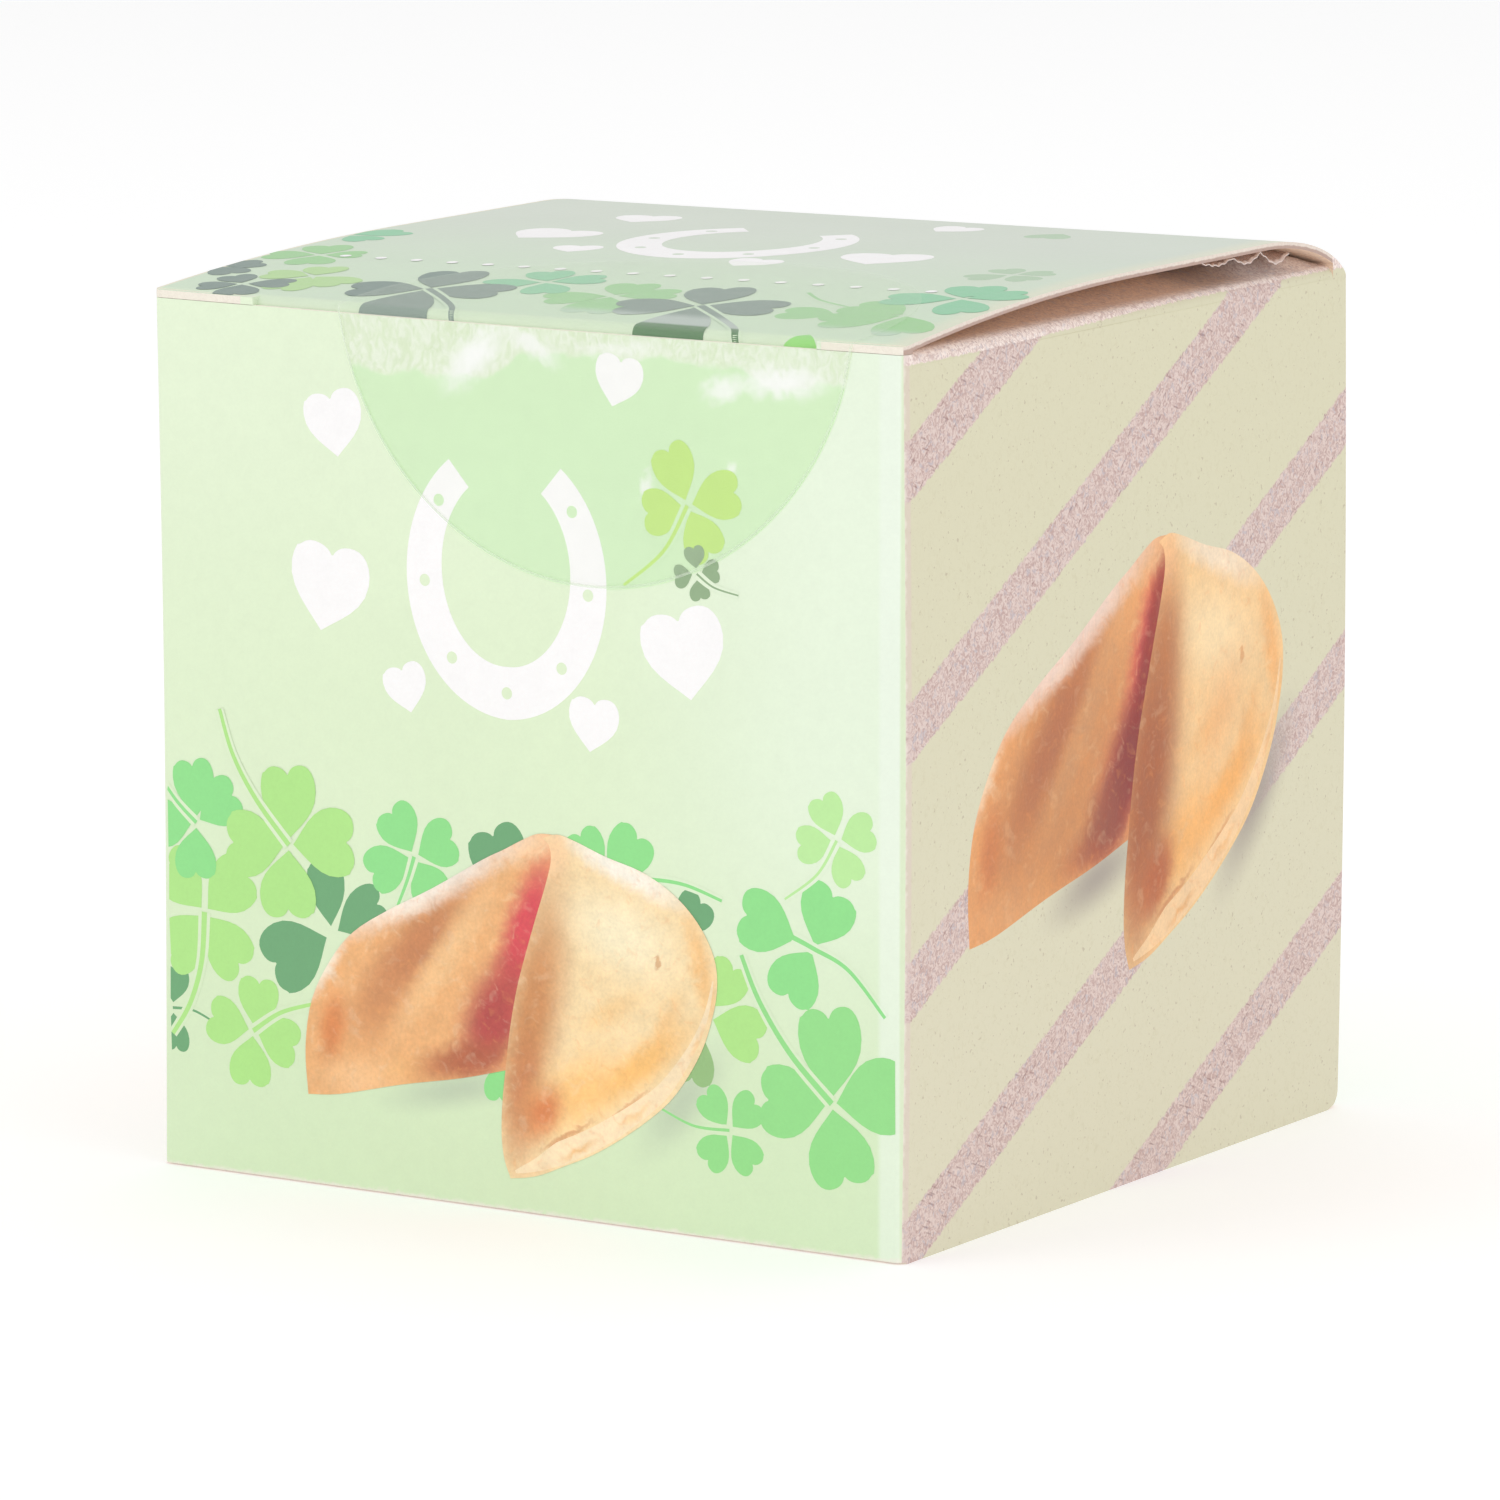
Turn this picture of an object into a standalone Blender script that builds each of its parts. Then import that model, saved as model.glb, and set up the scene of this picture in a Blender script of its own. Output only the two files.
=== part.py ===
"""A shut card gift carton for a single cookie, held by a clear round seal.

The carton is a folded cube. Its lid is hinged at the back, arches over the two
dust flaps and tucks in behind the front wall, so a low gap shows under the lid
at both sides. The crimped edge of the cookie's film wrapper lies in that gap.
The inside can't be seen, so the carton is one solid.

The front faces -Y, up is +Z and the base rests on Z = 0. Lengths are in metres.
"""

import math

import bpy

MM = 0.001

# Driving dimensions of the carton
WIDTH = 60.0 * MM
FRONT_FOLD = -29.75 * MM
BACK_FOLD = 30.45 * MM
WALL_TOP = 60.5 * MM
CARD = 0.45 * MM
CORNER_RADIUS = 0.7 * MM

# How far the standing walls have sprung out of true
BOW = 0.25 * MM
FRONT_BULGE = 0.6 * MM
SIDE_BULGE = 0.15 * MM
BACK_BULGE = 0.3 * MM

# The closing panel under the base shows as a low step along the front
BASE_STEP_HEIGHT = 0.25 * MM
BASE_STEP_INSET = 0.5 * MM
BASE_FOLD_RADIUS = 1.3 * MM

# The lid's arch, its soft hinge at the back and the tuck fold at the front
LID_FRONT_TOP = 60.95 * MM
LID_RISE_LEFT = 1.5 * MM
LID_RISE_RIGHT = 2.0 * MM
HINGE_RUN = 12.1 * MM
HINGE_DROP = 4.5 * MM
HINGE_LAST_SHARE = 0.99
TUCK_LEFT = -21.6 * MM
TUCK_RIGHT = 23.3 * MM
TUCK_FOLD_RADIUS = 0.7 * MM
FRONT_EDGE_TOP = 60.4 * MM

# The gap between the lid and the dust flaps, and its thin slits at the front
FLAP_TOP = 60.5 * MM
FLAP_FOLD_RADIUS = 0.9 * MM
GAP_FRONT_INSET = 1.1 * MM
GAP_BACK_INSET = 2.4 * MM
SLIT_HEIGHT = 0.12 * MM
SLIT_OVERLAP = 0.2 * MM

# The raw upright edge of the glued seam, at the back left fold
SEAM_WIDTH = 0.2 * MM
SEAM_DEPTH = 0.3 * MM
SEAM_INSET = 1.2 * MM
SEAM_TOP = 59.0 * MM

# The clear round seal over the front edge of the lid
SEAL_RADIUS = 20.45 * MM
SEAL_CENTRE_ACROSS = 5.8 * MM
SEAL_CENTRE_PAST_EDGE = 2.75 * MM
SEAL_THICKNESS = 0.15 * MM
SEAL_FOLD_RADIUS = 0.5 * MM

# The crimped edge of the film wrapper, which hangs in scallops under the lid
WRAPPER_START = 7.9 * MM
WRAPPER_END = 22.6 * MM
WRAPPER_INNER = 21.0 * MM
WRAPPER_OUTER = 29.0 * MM
WRAPPER_THICKNESS = 0.15 * MM
WRAPPER_DROP = 0.5 * MM
SCALLOP_LENGTH = 4.1 * MM
SCALLOP_DEPTH_START = 0.15 * MM
SCALLOP_DEPTH_END = 0.8 * MM

# Gaps between separate pieces, and how far the cutters reach past the card
CLEARANCE = 0.3 * MM
CUT_MARGIN = 2.1 * MM
CUT_TOP = 65.0 * MM
SHARP_STEP = 0.02 * MM

# Fineness of the faceted curves
SIDE_STEPS = 10
WALL_STEPS = 6
CORNER_STEPS = 4
LID_STEPS = 10
HINGE_STEPS = 9
FOLD_STEPS = 5
SEAL_ROWS = 28
SEAL_COLUMNS = 10
SCALLOP_STEPS = 8
SMOOTH_ANGLE = math.radians(30)

HALF_WIDTH = WIDTH / 2
HALF_DEPTH = (BACK_FOLD - FRONT_FOLD) / 2
HINGE_START = BACK_FOLD - HINGE_RUN
LEFT_AT_TOP = -HALF_WIDTH - BOW / 2
RIGHT_AT_TOP = HALF_WIDTH - BOW / 2
GAP_FRONT = FRONT_FOLD + GAP_FRONT_INSET
GAP_BACK = BACK_FOLD - GAP_BACK_INSET


def clear_scene():
    """Remove whatever the new file holds."""
    for old in list(bpy.data.objects):
        bpy.data.objects.remove(old, do_unlink=True)


def make_material(name, colour, roughness, alpha=1.0):
    """A plain Principled material."""
    material = bpy.data.materials.new(name)
    material.use_nodes = True
    shader = material.node_tree.nodes["Principled BSDF"]
    shader.inputs["Base Color"].default_value = (*colour, 1.0)
    shader.inputs["Roughness"].default_value = roughness
    shader.inputs["Metallic"].default_value = 0.0
    shader.inputs["Alpha"].default_value = alpha
    return material


def make_object(name, points, faces, material=None):
    """A mesh object from points and faces, in the part's own frame."""
    mesh = bpy.data.meshes.new(name)
    mesh.from_pydata(points, [], faces)
    mesh.validate()
    if material:
        mesh.materials.append(material)
        mesh.shade_smooth()
        mesh.set_sharp_from_angle(angle=SMOOTH_ANGLE)
    item = bpy.data.objects.new(name, mesh)
    bpy.context.scene.collection.objects.link(item)
    return item


def closed_sheet(name, under, over, material=None):
    """A closed body between two sheets of points, each a list of columns.

    The columns follow one another towards +X, and the points of a column run
    towards +Y, or up the front wall.
    """
    columns = len(under)
    rows = len(under[0])
    points = [point for sheet in (under, over) for column in sheet for point in column]
    top = columns * rows
    faces = []
    for column in range(columns - 1):
        for row in range(rows - 1):
            here = column * rows + row
            beside = here + rows
            faces.append((here, here + 1, beside + 1, beside))
            faces.append((top + here, top + beside, top + beside + 1, top + here + 1))
    for row in range(rows - 1):
        first = row
        last = (columns - 1) * rows + row
        faces.append((first, top + first, top + first + 1, first + 1))
        faces.append((last, last + 1, top + last + 1, top + last))
    for column in range(columns - 1):
        near = column * rows
        far = near + rows - 1
        faces.append((near, near + rows, top + near + rows, top + near))
        faces.append((far + rows, far, top + far, top + far + rows))
    return make_object(name, points, faces, material)


def spread(start, end, steps):
    """Evenly spaced values from start to end, both included."""
    return [start + (end - start) * step / steps for step in range(steps + 1)]


def quarter_turn(steps):
    """Angles through a quarter turn."""
    return spread(0.0, math.pi / 2, steps)


def sway(z):
    """How far the whole carton leans across at height z."""
    share = min(z / WALL_TOP, 1.0)
    return BOW * (math.sin(math.pi * share) - 0.5)


def wall_bulges(z):
    """Outward spring of the front, right, back and left wall at mid-width."""
    share = min(z / WALL_TOP, 1.0)
    belly = math.sin(math.pi * share)
    return FRONT_BULGE * share, SIDE_BULGE * belly, BACK_BULGE * belly, SIDE_BULGE * belly


def front_wall_y(x, z):
    """The outer face of the front wall."""
    share = (x + HALF_WIDTH) / WIDTH
    return FRONT_FOLD - wall_bulges(z)[0] * max(math.sin(math.pi * share), 0.0)


def wall_outline(z):
    """The carton's outline at height z, anticlockwise from the front left fold."""
    below_fold = max(BASE_FOLD_RADIUS - z, 0.0)
    back = BACK_FOLD - BASE_FOLD_RADIUS + math.sqrt(BASE_FOLD_RADIUS ** 2 - below_fold ** 2)
    left = -HALF_WIDTH + sway(z)
    right = HALF_WIDTH + sway(z)
    corners = [(left, FRONT_FOLD), (right, FRONT_FOLD), (right, back), (left, back)]
    directions = [(1, 0), (0, 1), (-1, 0), (0, -1)]
    outline = []
    for side, bulge in enumerate(wall_bulges(z)):
        start_x, start_y = corners[side]
        end_x, end_y = corners[(side + 1) % len(corners)]
        run_x, run_y = directions[side]
        out_x, out_y = run_y, -run_x
        length = abs(end_x - start_x) + abs(end_y - start_y) - 2 * CORNER_RADIUS
        for share in spread(0.0, 1.0, SIDE_STEPS):
            distance = CORNER_RADIUS + length * share
            spring = bulge * math.sin(math.pi * share)
            outline.append((start_x + run_x * distance + out_x * spring,
                            start_y + run_y * distance + out_y * spring, z))
        for angle in quarter_turn(CORNER_STEPS)[1:-1]:
            forward = CORNER_RADIUS * (math.sin(angle) - 1)
            outward = CORNER_RADIUS * (math.cos(angle) - 1)
            outline.append((end_x + run_x * forward + out_x * outward,
                            end_y + run_y * forward + out_y * outward, z))
    return outline


def carton_block(material):
    """The four walls and base as one solid, taller than the lid."""
    levels = [BASE_FOLD_RADIUS * (1 - math.cos(angle)) for angle in quarter_turn(FOLD_STEPS)]
    levels += spread(BASE_FOLD_RADIUS, WALL_TOP, WALL_STEPS)[1:]
    levels.append(CUT_TOP - MM)
    rings = [wall_outline(z) for z in levels]
    count = len(rings[0])
    points = [point for ring in rings for point in ring]
    faces = [list(reversed(range(count)))]
    for level in range(len(rings) - 1):
        low = level * count
        high = low + count
        for index in range(count):
            after = (index + 1) % count
            faces.append((low + index, low + after, high + after, high + index))
    faces.append([count * (len(rings) - 1) + index for index in range(count)])
    return make_object("carton", points, faces, material)


def lid_rise(x):
    """Height of the arch over the lid's front edge, higher on the right."""
    share = (x + HALF_WIDTH) / WIDTH
    return LID_RISE_LEFT + (LID_RISE_RIGHT - LID_RISE_LEFT) * min(max(share, 0.0), 1.0)


def hinge_share(y):
    """Way round the hinge as a share of its run, short of its upright end."""
    return min(max((y - HINGE_START) / HINGE_RUN, 0.0), HINGE_LAST_SHARE)


def lid_top(x, y):
    """Outer face of the lid, without its tuck fold."""
    share = min(max((y - FRONT_FOLD) / HALF_DEPTH, 0.0), 1.0)
    arch = 1 - (1 - share) ** 2
    fall = HINGE_DROP * (1 - math.sqrt(1 - hinge_share(y) ** 2))
    return LID_FRONT_TOP + lid_rise(x) * arch - fall


def lid_underside(x, y):
    """Inner face of the lid, one card thickness below."""
    share = hinge_share(y)
    slope = HINGE_DROP / HINGE_RUN * share / math.sqrt(1 - share ** 2)
    return lid_top(x, y) - CARD * math.sqrt(1 + slope ** 2)


def flap_top(x):
    """Top of the dust flaps, rounded down at the side folds."""
    past = max(x - (RIGHT_AT_TOP - FLAP_FOLD_RADIUS), LEFT_AT_TOP + FLAP_FOLD_RADIUS - x, 0.0)
    past = min(past, FLAP_FOLD_RADIUS)
    return FLAP_TOP - FLAP_FOLD_RADIUS + math.sqrt(FLAP_FOLD_RADIUS ** 2 - past ** 2)


def hinge_ys():
    """Samples round the hinge, closer together as it steepens."""
    turned = [HINGE_START + HINGE_RUN * math.sin(angle) for angle in quarter_turn(HINGE_STEPS)[1:-1]]
    return turned + [HINGE_START + HINGE_RUN * HINGE_LAST_SHARE]


def lid_column(x):
    """Points over the carton from front to back: wall edge, tuck fold, arch and hinge."""
    tucked = TUCK_LEFT < x < TUCK_RIGHT
    fold_start = front_wall_y(x, WALL_TOP) + CARD
    edge_z = FRONT_EDGE_TOP if tucked else LID_FRONT_TOP
    column = [(x, FRONT_FOLD - CUT_MARGIN, edge_z), (x, fold_start - SHARP_STEP, edge_z)]
    for angle in quarter_turn(FOLD_STEPS):
        y = fold_start + TUCK_FOLD_RADIUS * (1 - math.cos(angle))
        drop = TUCK_FOLD_RADIUS * (1 - math.sin(angle)) if tucked else 0.0
        column.append((x, y, lid_top(x, y) - drop))
    arch_ys = spread(FRONT_FOLD, HINGE_START, LID_STEPS)[1:]
    column += [(x, y, lid_top(x, y)) for y in arch_ys + hinge_ys()]
    hinge_end_z = LID_FRONT_TOP + lid_rise(x) - HINGE_DROP
    column += [(x, y, hinge_end_z) for y in (BACK_FOLD, BACK_FOLD + CUT_MARGIN)]
    return column


def air_over_lid():
    """Cutter for all that lies over the lid, its tuck fold and the front wall's edge."""
    xs = [-HALF_WIDTH - CUT_MARGIN, LEFT_AT_TOP, TUCK_LEFT - SHARP_STEP]
    xs += spread(TUCK_LEFT + SHARP_STEP, TUCK_RIGHT - SHARP_STEP, SIDE_STEPS)
    xs += [TUCK_RIGHT + SHARP_STEP, RIGHT_AT_TOP, HALF_WIDTH + CUT_MARGIN]
    under = [lid_column(x) for x in xs]
    over = [[(x, y, CUT_TOP) for x, y, z in column] for column in under]
    return closed_sheet("air_over_lid", under, over)


def gap_under_lid():
    """Cutter for the open wedge between the lid and the dust flaps, from side to side."""
    fold_turns = [FLAP_FOLD_RADIUS * (1 - math.sin(angle)) for angle in quarter_turn(FOLD_STEPS)]
    left_xs = [LEFT_AT_TOP + turn for turn in reversed(fold_turns)]
    right_xs = [RIGHT_AT_TOP - turn for turn in fold_turns]
    inner_xs = spread(left_xs[-1], right_xs[0], SIDE_STEPS // 2)[1:-1]
    xs = [LEFT_AT_TOP - CUT_MARGIN] + left_xs + inner_xs + right_xs + [RIGHT_AT_TOP + CUT_MARGIN]
    ys = spread(GAP_FRONT, HINGE_START, LID_STEPS)
    ys += [y for y in hinge_ys() if y < GAP_BACK - MM] + [GAP_BACK]
    lowest_roof = FLAP_TOP + SLIT_HEIGHT
    under = [[(x, y, flap_top(x)) for y in ys] for x in xs]
    over = [[(x, y, max(lid_underside(x, y), lowest_roof)) for y in ys] for x in xs]
    return closed_sheet("gap_under_lid", under, over)


def box_cutter(name, low, high):
    """A plain box between two corners."""
    sheets = [[[(x, y, z) for y in (low[1], high[1])] for x in (low[0], high[0])] for z in (low[2], high[2])]
    return closed_sheet(name, sheets[0], sheets[1])


def slit_cutters():
    """The thin slits between the lid's shoulders and the front wall's edge."""
    near = FRONT_FOLD - CUT_MARGIN
    far = GAP_FRONT + SLIT_OVERLAP
    top = FRONT_EDGE_TOP + SLIT_HEIGHT
    past = HALF_WIDTH + CUT_MARGIN
    left = box_cutter("slit_left", (-past, near, FRONT_EDGE_TOP), (TUCK_LEFT, far, top))
    right = box_cutter("slit_right", (TUCK_RIGHT, near, FRONT_EDGE_TOP), (past, far, top))
    return [left, right]


def base_step():
    """The step from the front wall's lower edge back to the closing panel."""
    past = HALF_WIDTH + CUT_MARGIN
    low = (-past, FRONT_FOLD - CUT_MARGIN, -CUT_MARGIN)
    high = (past, FRONT_FOLD + BASE_STEP_INSET, BASE_STEP_HEIGHT)
    return box_cutter("base_step", low, high)


def glued_seam():
    """The groove beside the side wall's raw edge, where it overlaps the back wall."""
    near = BACK_FOLD - SEAM_INSET
    low = (-HALF_WIDTH - CUT_MARGIN, near, -CUT_MARGIN)
    high = (LEFT_AT_TOP + SEAM_DEPTH, near + SEAM_WIDTH, SEAM_TOP)
    return box_cutter("glued_seam", low, high)


def make_carton(material):
    """The folded carton, with the gaps that show at its lid, base and seam."""
    carton = carton_block(material)
    cutters = [air_over_lid(), gap_under_lid(), base_step(), glued_seam()] + slit_cutters()
    for cutter in cutters:
        cutter.hide_render = True
        cutter.display_type = "WIRE"
        boolean = carton.modifiers.new(cutter.name, "BOOLEAN")
        boolean.operation = "DIFFERENCE"
        boolean.solver = "EXACT"
        boolean.object = cutter


def seal_on_front(x, past_edge, lift):
    """A point of the seal's stretch down the front wall."""
    z = LID_FRONT_TOP + lift + past_edge
    return x, front_wall_y(x, z) - lift, z


def seal_on_lid(x, past_edge, lift):
    """A point of the seal's stretch back along the lid."""
    y = front_wall_y(x, WALL_TOP) - lift + past_edge
    return x, y, lid_top(x, y) + lift


def seal_point(x, past_edge, lift):
    """A point of the seal, lifted off the card, by its way past the front edge."""
    if past_edge <= -SEAL_FOLD_RADIUS:
        return seal_on_front(x, past_edge, lift)
    if past_edge >= SEAL_FOLD_RADIUS:
        return seal_on_lid(x, past_edge, lift)
    start = seal_on_front(x, -SEAL_FOLD_RADIUS, lift)
    middle = seal_on_front(x, 0.0, lift)
    end = seal_on_lid(x, SEAL_FOLD_RADIUS, lift)
    turn = (past_edge + SEAL_FOLD_RADIUS) / (2 * SEAL_FOLD_RADIUS)
    weights = ((1 - turn) ** 2, 2 * turn * (1 - turn), turn ** 2)
    return tuple(weights[0] * a + weights[1] * b + weights[2] * c for a, b, c in zip(start, middle, end))


def make_seal(material):
    """The round film seal, folded over the lid's front edge."""
    turns = spread(0.0, math.pi, SEAL_ROWS)[1:-1]
    ways = [SEAL_CENTRE_PAST_EDGE - SEAL_RADIUS * math.cos(angle) for angle in turns]
    ways = sorted(ways + spread(-SEAL_FOLD_RADIUS, SEAL_FOLD_RADIUS, FOLD_STEPS))
    sheets = []
    for lift in (CLEARANCE, CLEARANCE + SEAL_THICKNESS):
        sheet = []
        for share in spread(-1.0, 1.0, SEAL_COLUMNS):
            column = []
            for way in ways:
                reach = math.sqrt(SEAL_RADIUS ** 2 - (way - SEAL_CENTRE_PAST_EDGE) ** 2)
                column.append(seal_point(SEAL_CENTRE_ACROSS + reach * share, way, lift))
            sheet.append(column)
        sheets.append(sheet)
    closed_sheet("seal", sheets[0], sheets[1], material)


def wrapper_z(y):
    """Middle of the film as it hangs in scallops under the lid."""
    way = y - WRAPPER_START
    share = way / (WRAPPER_END - WRAPPER_START)
    depth = SCALLOP_DEPTH_START + (SCALLOP_DEPTH_END - SCALLOP_DEPTH_START) * share
    hang = (1 - math.cos(2 * math.pi * way / SCALLOP_LENGTH)) / 2
    return lid_underside(WRAPPER_OUTER, y) - WRAPPER_DROP - depth * hang


def make_wrapper_edge(material):
    """The crimped film edge in the gap, near the back of the right side."""
    steps = round((WRAPPER_END - WRAPPER_START) / SCALLOP_LENGTH * SCALLOP_STEPS)
    ys = spread(WRAPPER_START, WRAPPER_END, steps)
    half = WRAPPER_THICKNESS / 2
    sheets = [[[(x, y, wrapper_z(y) + offset) for y in ys] for x in (WRAPPER_INNER, WRAPPER_OUTER)]
              for offset in (-half, half)]
    closed_sheet("wrapper_edge", sheets[0], sheets[1], material)


def main():
    clear_scene()
    make_carton(make_material("printed_card", (0.71, 0.86, 0.60), 0.55))
    make_seal(make_material("clear_film", (0.80, 0.95, 0.75), 0.12, alpha=0.35))
    make_wrapper_edge(make_material("wrapper_film", (0.62, 0.52, 0.46), 0.25))


main()
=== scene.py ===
import math

import bmesh
import bpy
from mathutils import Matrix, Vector, noise


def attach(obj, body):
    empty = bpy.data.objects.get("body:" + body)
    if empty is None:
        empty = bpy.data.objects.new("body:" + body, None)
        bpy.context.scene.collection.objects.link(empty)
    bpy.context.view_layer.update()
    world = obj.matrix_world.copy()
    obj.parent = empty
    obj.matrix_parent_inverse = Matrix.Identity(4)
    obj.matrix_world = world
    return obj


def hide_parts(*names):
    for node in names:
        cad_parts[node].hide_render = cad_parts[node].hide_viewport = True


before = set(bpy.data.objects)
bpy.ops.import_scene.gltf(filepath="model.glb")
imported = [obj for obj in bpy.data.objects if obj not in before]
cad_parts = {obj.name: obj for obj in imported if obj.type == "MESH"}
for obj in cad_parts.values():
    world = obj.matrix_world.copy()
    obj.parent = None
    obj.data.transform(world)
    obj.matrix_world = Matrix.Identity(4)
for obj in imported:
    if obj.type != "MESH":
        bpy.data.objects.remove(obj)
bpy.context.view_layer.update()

MM = 0.001

# The folded carton, as its solid has it
WIDTH = 60.0 * MM
HALF_WIDTH = WIDTH / 2
FRONT_FOLD = -29.75 * MM
BACK_FOLD = 30.45 * MM
MID_DEPTH = (BACK_FOLD + FRONT_FOLD) / 2
HALF_DEPTH = (BACK_FOLD - FRONT_FOLD) / 2
WALL_TOP = 60.5 * MM
CARD = 0.45 * MM
CORNER_RADIUS = 0.7 * MM
BOW = 0.25 * MM
FRONT_BULGE = 0.6 * MM
SIDE_BULGE = 0.15 * MM
BACK_BULGE = 0.3 * MM
BASE_STEP_HEIGHT = 0.12 * MM
BASE_STEP_INSET = 0.5 * MM
BASE_FOLD_RADIUS = 1.3 * MM

# The lid's arch, its hinge, its tuck fold and the gap under it
LID_FRONT_TOP = 60.95 * MM
LID_RISE_LEFT = 1.5 * MM
LID_RISE_RIGHT = 2.0 * MM
HINGE_RUN = 12.1 * MM
HINGE_START = BACK_FOLD - HINGE_RUN
HINGE_DROP = 4.5 * MM
HINGE_LAST_SHARE = 0.99
TUCK_LEFT = -21.6 * MM
TUCK_RIGHT = 23.3 * MM
TUCK_FOLD_RADIUS = 0.7 * MM
FRONT_EDGE_TOP = 60.4 * MM
FLAP_TOP = 60.5 * MM
FLAP_FOLD_RADIUS = 0.9 * MM
FLAP_SPRING = 0.62
FLAP_RUN = 6.0 * MM
SPRING_AT_HINGE = 0.95
RUN_AT_HINGE = 1.8 * MM
NEAR_HINGE = (15.0 * MM, 26.5 * MM)
GAP_FRONT = FRONT_FOLD + 1.1 * MM
GAP_BACK = BACK_FOLD - 2.4 * MM
SLIT_HEIGHT = 0.03 * MM
SLIT_OVERLAP = 0.2 * MM
LEFT_AT_TOP = -HALF_WIDTH - BOW / 2
RIGHT_AT_TOP = HALF_WIDTH - BOW / 2

# The glued seam at the back left fold
SEAM_WIDTH = 0.2 * MM
SEAM_DEPTH = 0.3 * MM
SEAM_INSET = 1.2 * MM
SEAM_TOP = 59.0 * MM

# Fineness of the card's mesh, and small unevenness of the board
CARD_STEP = 1.25 * MM
FOLD_STEPS = 8
HINGE_STEPS = 24
GAP_STEPS = 36
SHOULDER_STEPS = 6
DENT_DEPTH = 0.035 * MM
DENT_SIZE = 14.0 * MM
CUT_MARGIN = 2.1 * MM
CUT_TOP = 65.0 * MM
SHARP_STEP = 0.02 * MM
SMOOTH_ANGLE = math.radians(32)


def spread(start, end, steps):
    """Evenly spaced values from start to end, both included."""
    return [start + (end - start) * step / steps for step in range(steps + 1)]


def rows_between(start, end, step):
    """Evenly spaced values strictly between start and end."""
    count = max(round((end - start) / step), 1)
    return spread(start, end, count)[1:-1]


def clipped(share):
    """A share kept between nothing and all."""
    return min(max(share, 0.0), 1.0)


def sway(z):
    """How far the whole carton leans across at height z."""
    share = clipped(z / WALL_TOP)
    return BOW * (math.sin(math.pi * share) - 0.5)


def belly(z):
    """Share of the walls' spring at height z, nothing at the base and the top."""
    return math.sin(math.pi * clipped(z / WALL_TOP))


def dent(across, up, panel):
    """Slight unevenness of a panel, fading out at its folds."""
    fade_across = max(math.cos(math.pi * across / WIDTH), 0.0)
    wave = noise.noise(Vector((across / DENT_SIZE, up / DENT_SIZE, panel)))
    return DENT_DEPTH * wave * math.sqrt(fade_across)


def front_y(x, z):
    """The front wall's outer face."""
    share = clipped(z / WALL_TOP)
    arch = max(math.cos(math.pi * x / WIDTH), 0.0)
    return FRONT_FOLD - FRONT_BULGE * share * arch - dent(x, z, 0.0)


def back_y(x, z):
    """The back wall's outer face, rounded under at the base."""
    below_fold = max(BASE_FOLD_RADIUS - z, 0.0)
    tuck_in = BASE_FOLD_RADIUS - math.sqrt(max(BASE_FOLD_RADIUS ** 2 - below_fold ** 2, 0.0))
    arch = max(math.cos(math.pi * x / WIDTH), 0.0)
    return BACK_FOLD + BACK_BULGE * belly(z) * arch + dent(x, z, 3.0) - tuck_in


def side_x(y, z, side):
    """A side wall's outer face, on the right for side 1 and on the left for -1."""
    arch = max(math.cos(math.pi * (y - MID_DEPTH) / (2 * HALF_DEPTH)), 0.0)
    spring = SIDE_BULGE * belly(z) * arch + dent(y - MID_DEPTH, z, 6.0 * side)
    return side * (HALF_WIDTH + spring) + sway(z)


def lid_rise(x):
    """Height of the arch over the lid's front edge, higher on the right."""
    share = clipped((x + HALF_WIDTH) / WIDTH)
    return LID_RISE_LEFT + (LID_RISE_RIGHT - LID_RISE_LEFT) * share


def hinge_share(y):
    """Way round the hinge as a share of its run, short of its upright end."""
    return min(max((y - HINGE_START) / HINGE_RUN, 0.0), HINGE_LAST_SHARE)


def lid_top(x, y):
    """Outer face of the lid, without its tuck fold."""
    share = clipped((y - FRONT_FOLD) / HALF_DEPTH)
    arch = 1 - (1 - share) ** 2
    fall = HINGE_DROP * (1 - math.sqrt(1 - hinge_share(y) ** 2))
    return LID_FRONT_TOP + lid_rise(x) * arch - fall


def lid_underside(x, y):
    """Inner face of the lid, one card thickness below."""
    share = hinge_share(y)
    slope = HINGE_DROP / HINGE_RUN * share / math.sqrt(1 - share ** 2)
    return lid_top(x, y) - CARD * math.sqrt(1 + slope ** 2)


def flap_top(x):
    """Top of the dust flaps, rounded down at the side folds."""
    past = max(x - (RIGHT_AT_TOP - FLAP_FOLD_RADIUS), LEFT_AT_TOP + FLAP_FOLD_RADIUS - x, 0.0)
    past = min(past, FLAP_FOLD_RADIUS)
    return FLAP_TOP - FLAP_FOLD_RADIUS + math.sqrt(FLAP_FOLD_RADIUS ** 2 - past ** 2)


def flap_spring(x, y):
    """How far a dust flap has sprung up inside, as a part of the gap over it, most near the hinge."""
    inward = min(RIGHT_AT_TOP - x, x - LEFT_AT_TOP) - FLAP_FOLD_RADIUS
    near = clipped((y - NEAR_HINGE[0]) / (NEAR_HINGE[1] - NEAR_HINGE[0]))
    run = FLAP_RUN + (RUN_AT_HINGE - FLAP_RUN) * near
    share = clipped(inward / run)
    gap = max(lid_underside(x, y) - FLAP_TOP, 0.0)
    spring = FLAP_SPRING + (SPRING_AT_HINGE - FLAP_SPRING) * near
    return spring * gap * share * share * (3 - 2 * share)


def tucked(x):
    """Whether the lid folds down behind the front wall here."""
    return TUCK_LEFT < x < TUCK_RIGHT


def tuck_start(x):
    """Where the tuck fold rises behind the front wall's card."""
    return front_y(x, WALL_TOP) + CARD


# Modelling by hand

def deselect_all():
    """Leave nothing selected, in object mode."""
    if bpy.context.object and bpy.context.object.mode != "OBJECT":
        bpy.ops.object.mode_set(mode="OBJECT")
    bpy.ops.object.select_all(action="DESELECT")


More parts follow.
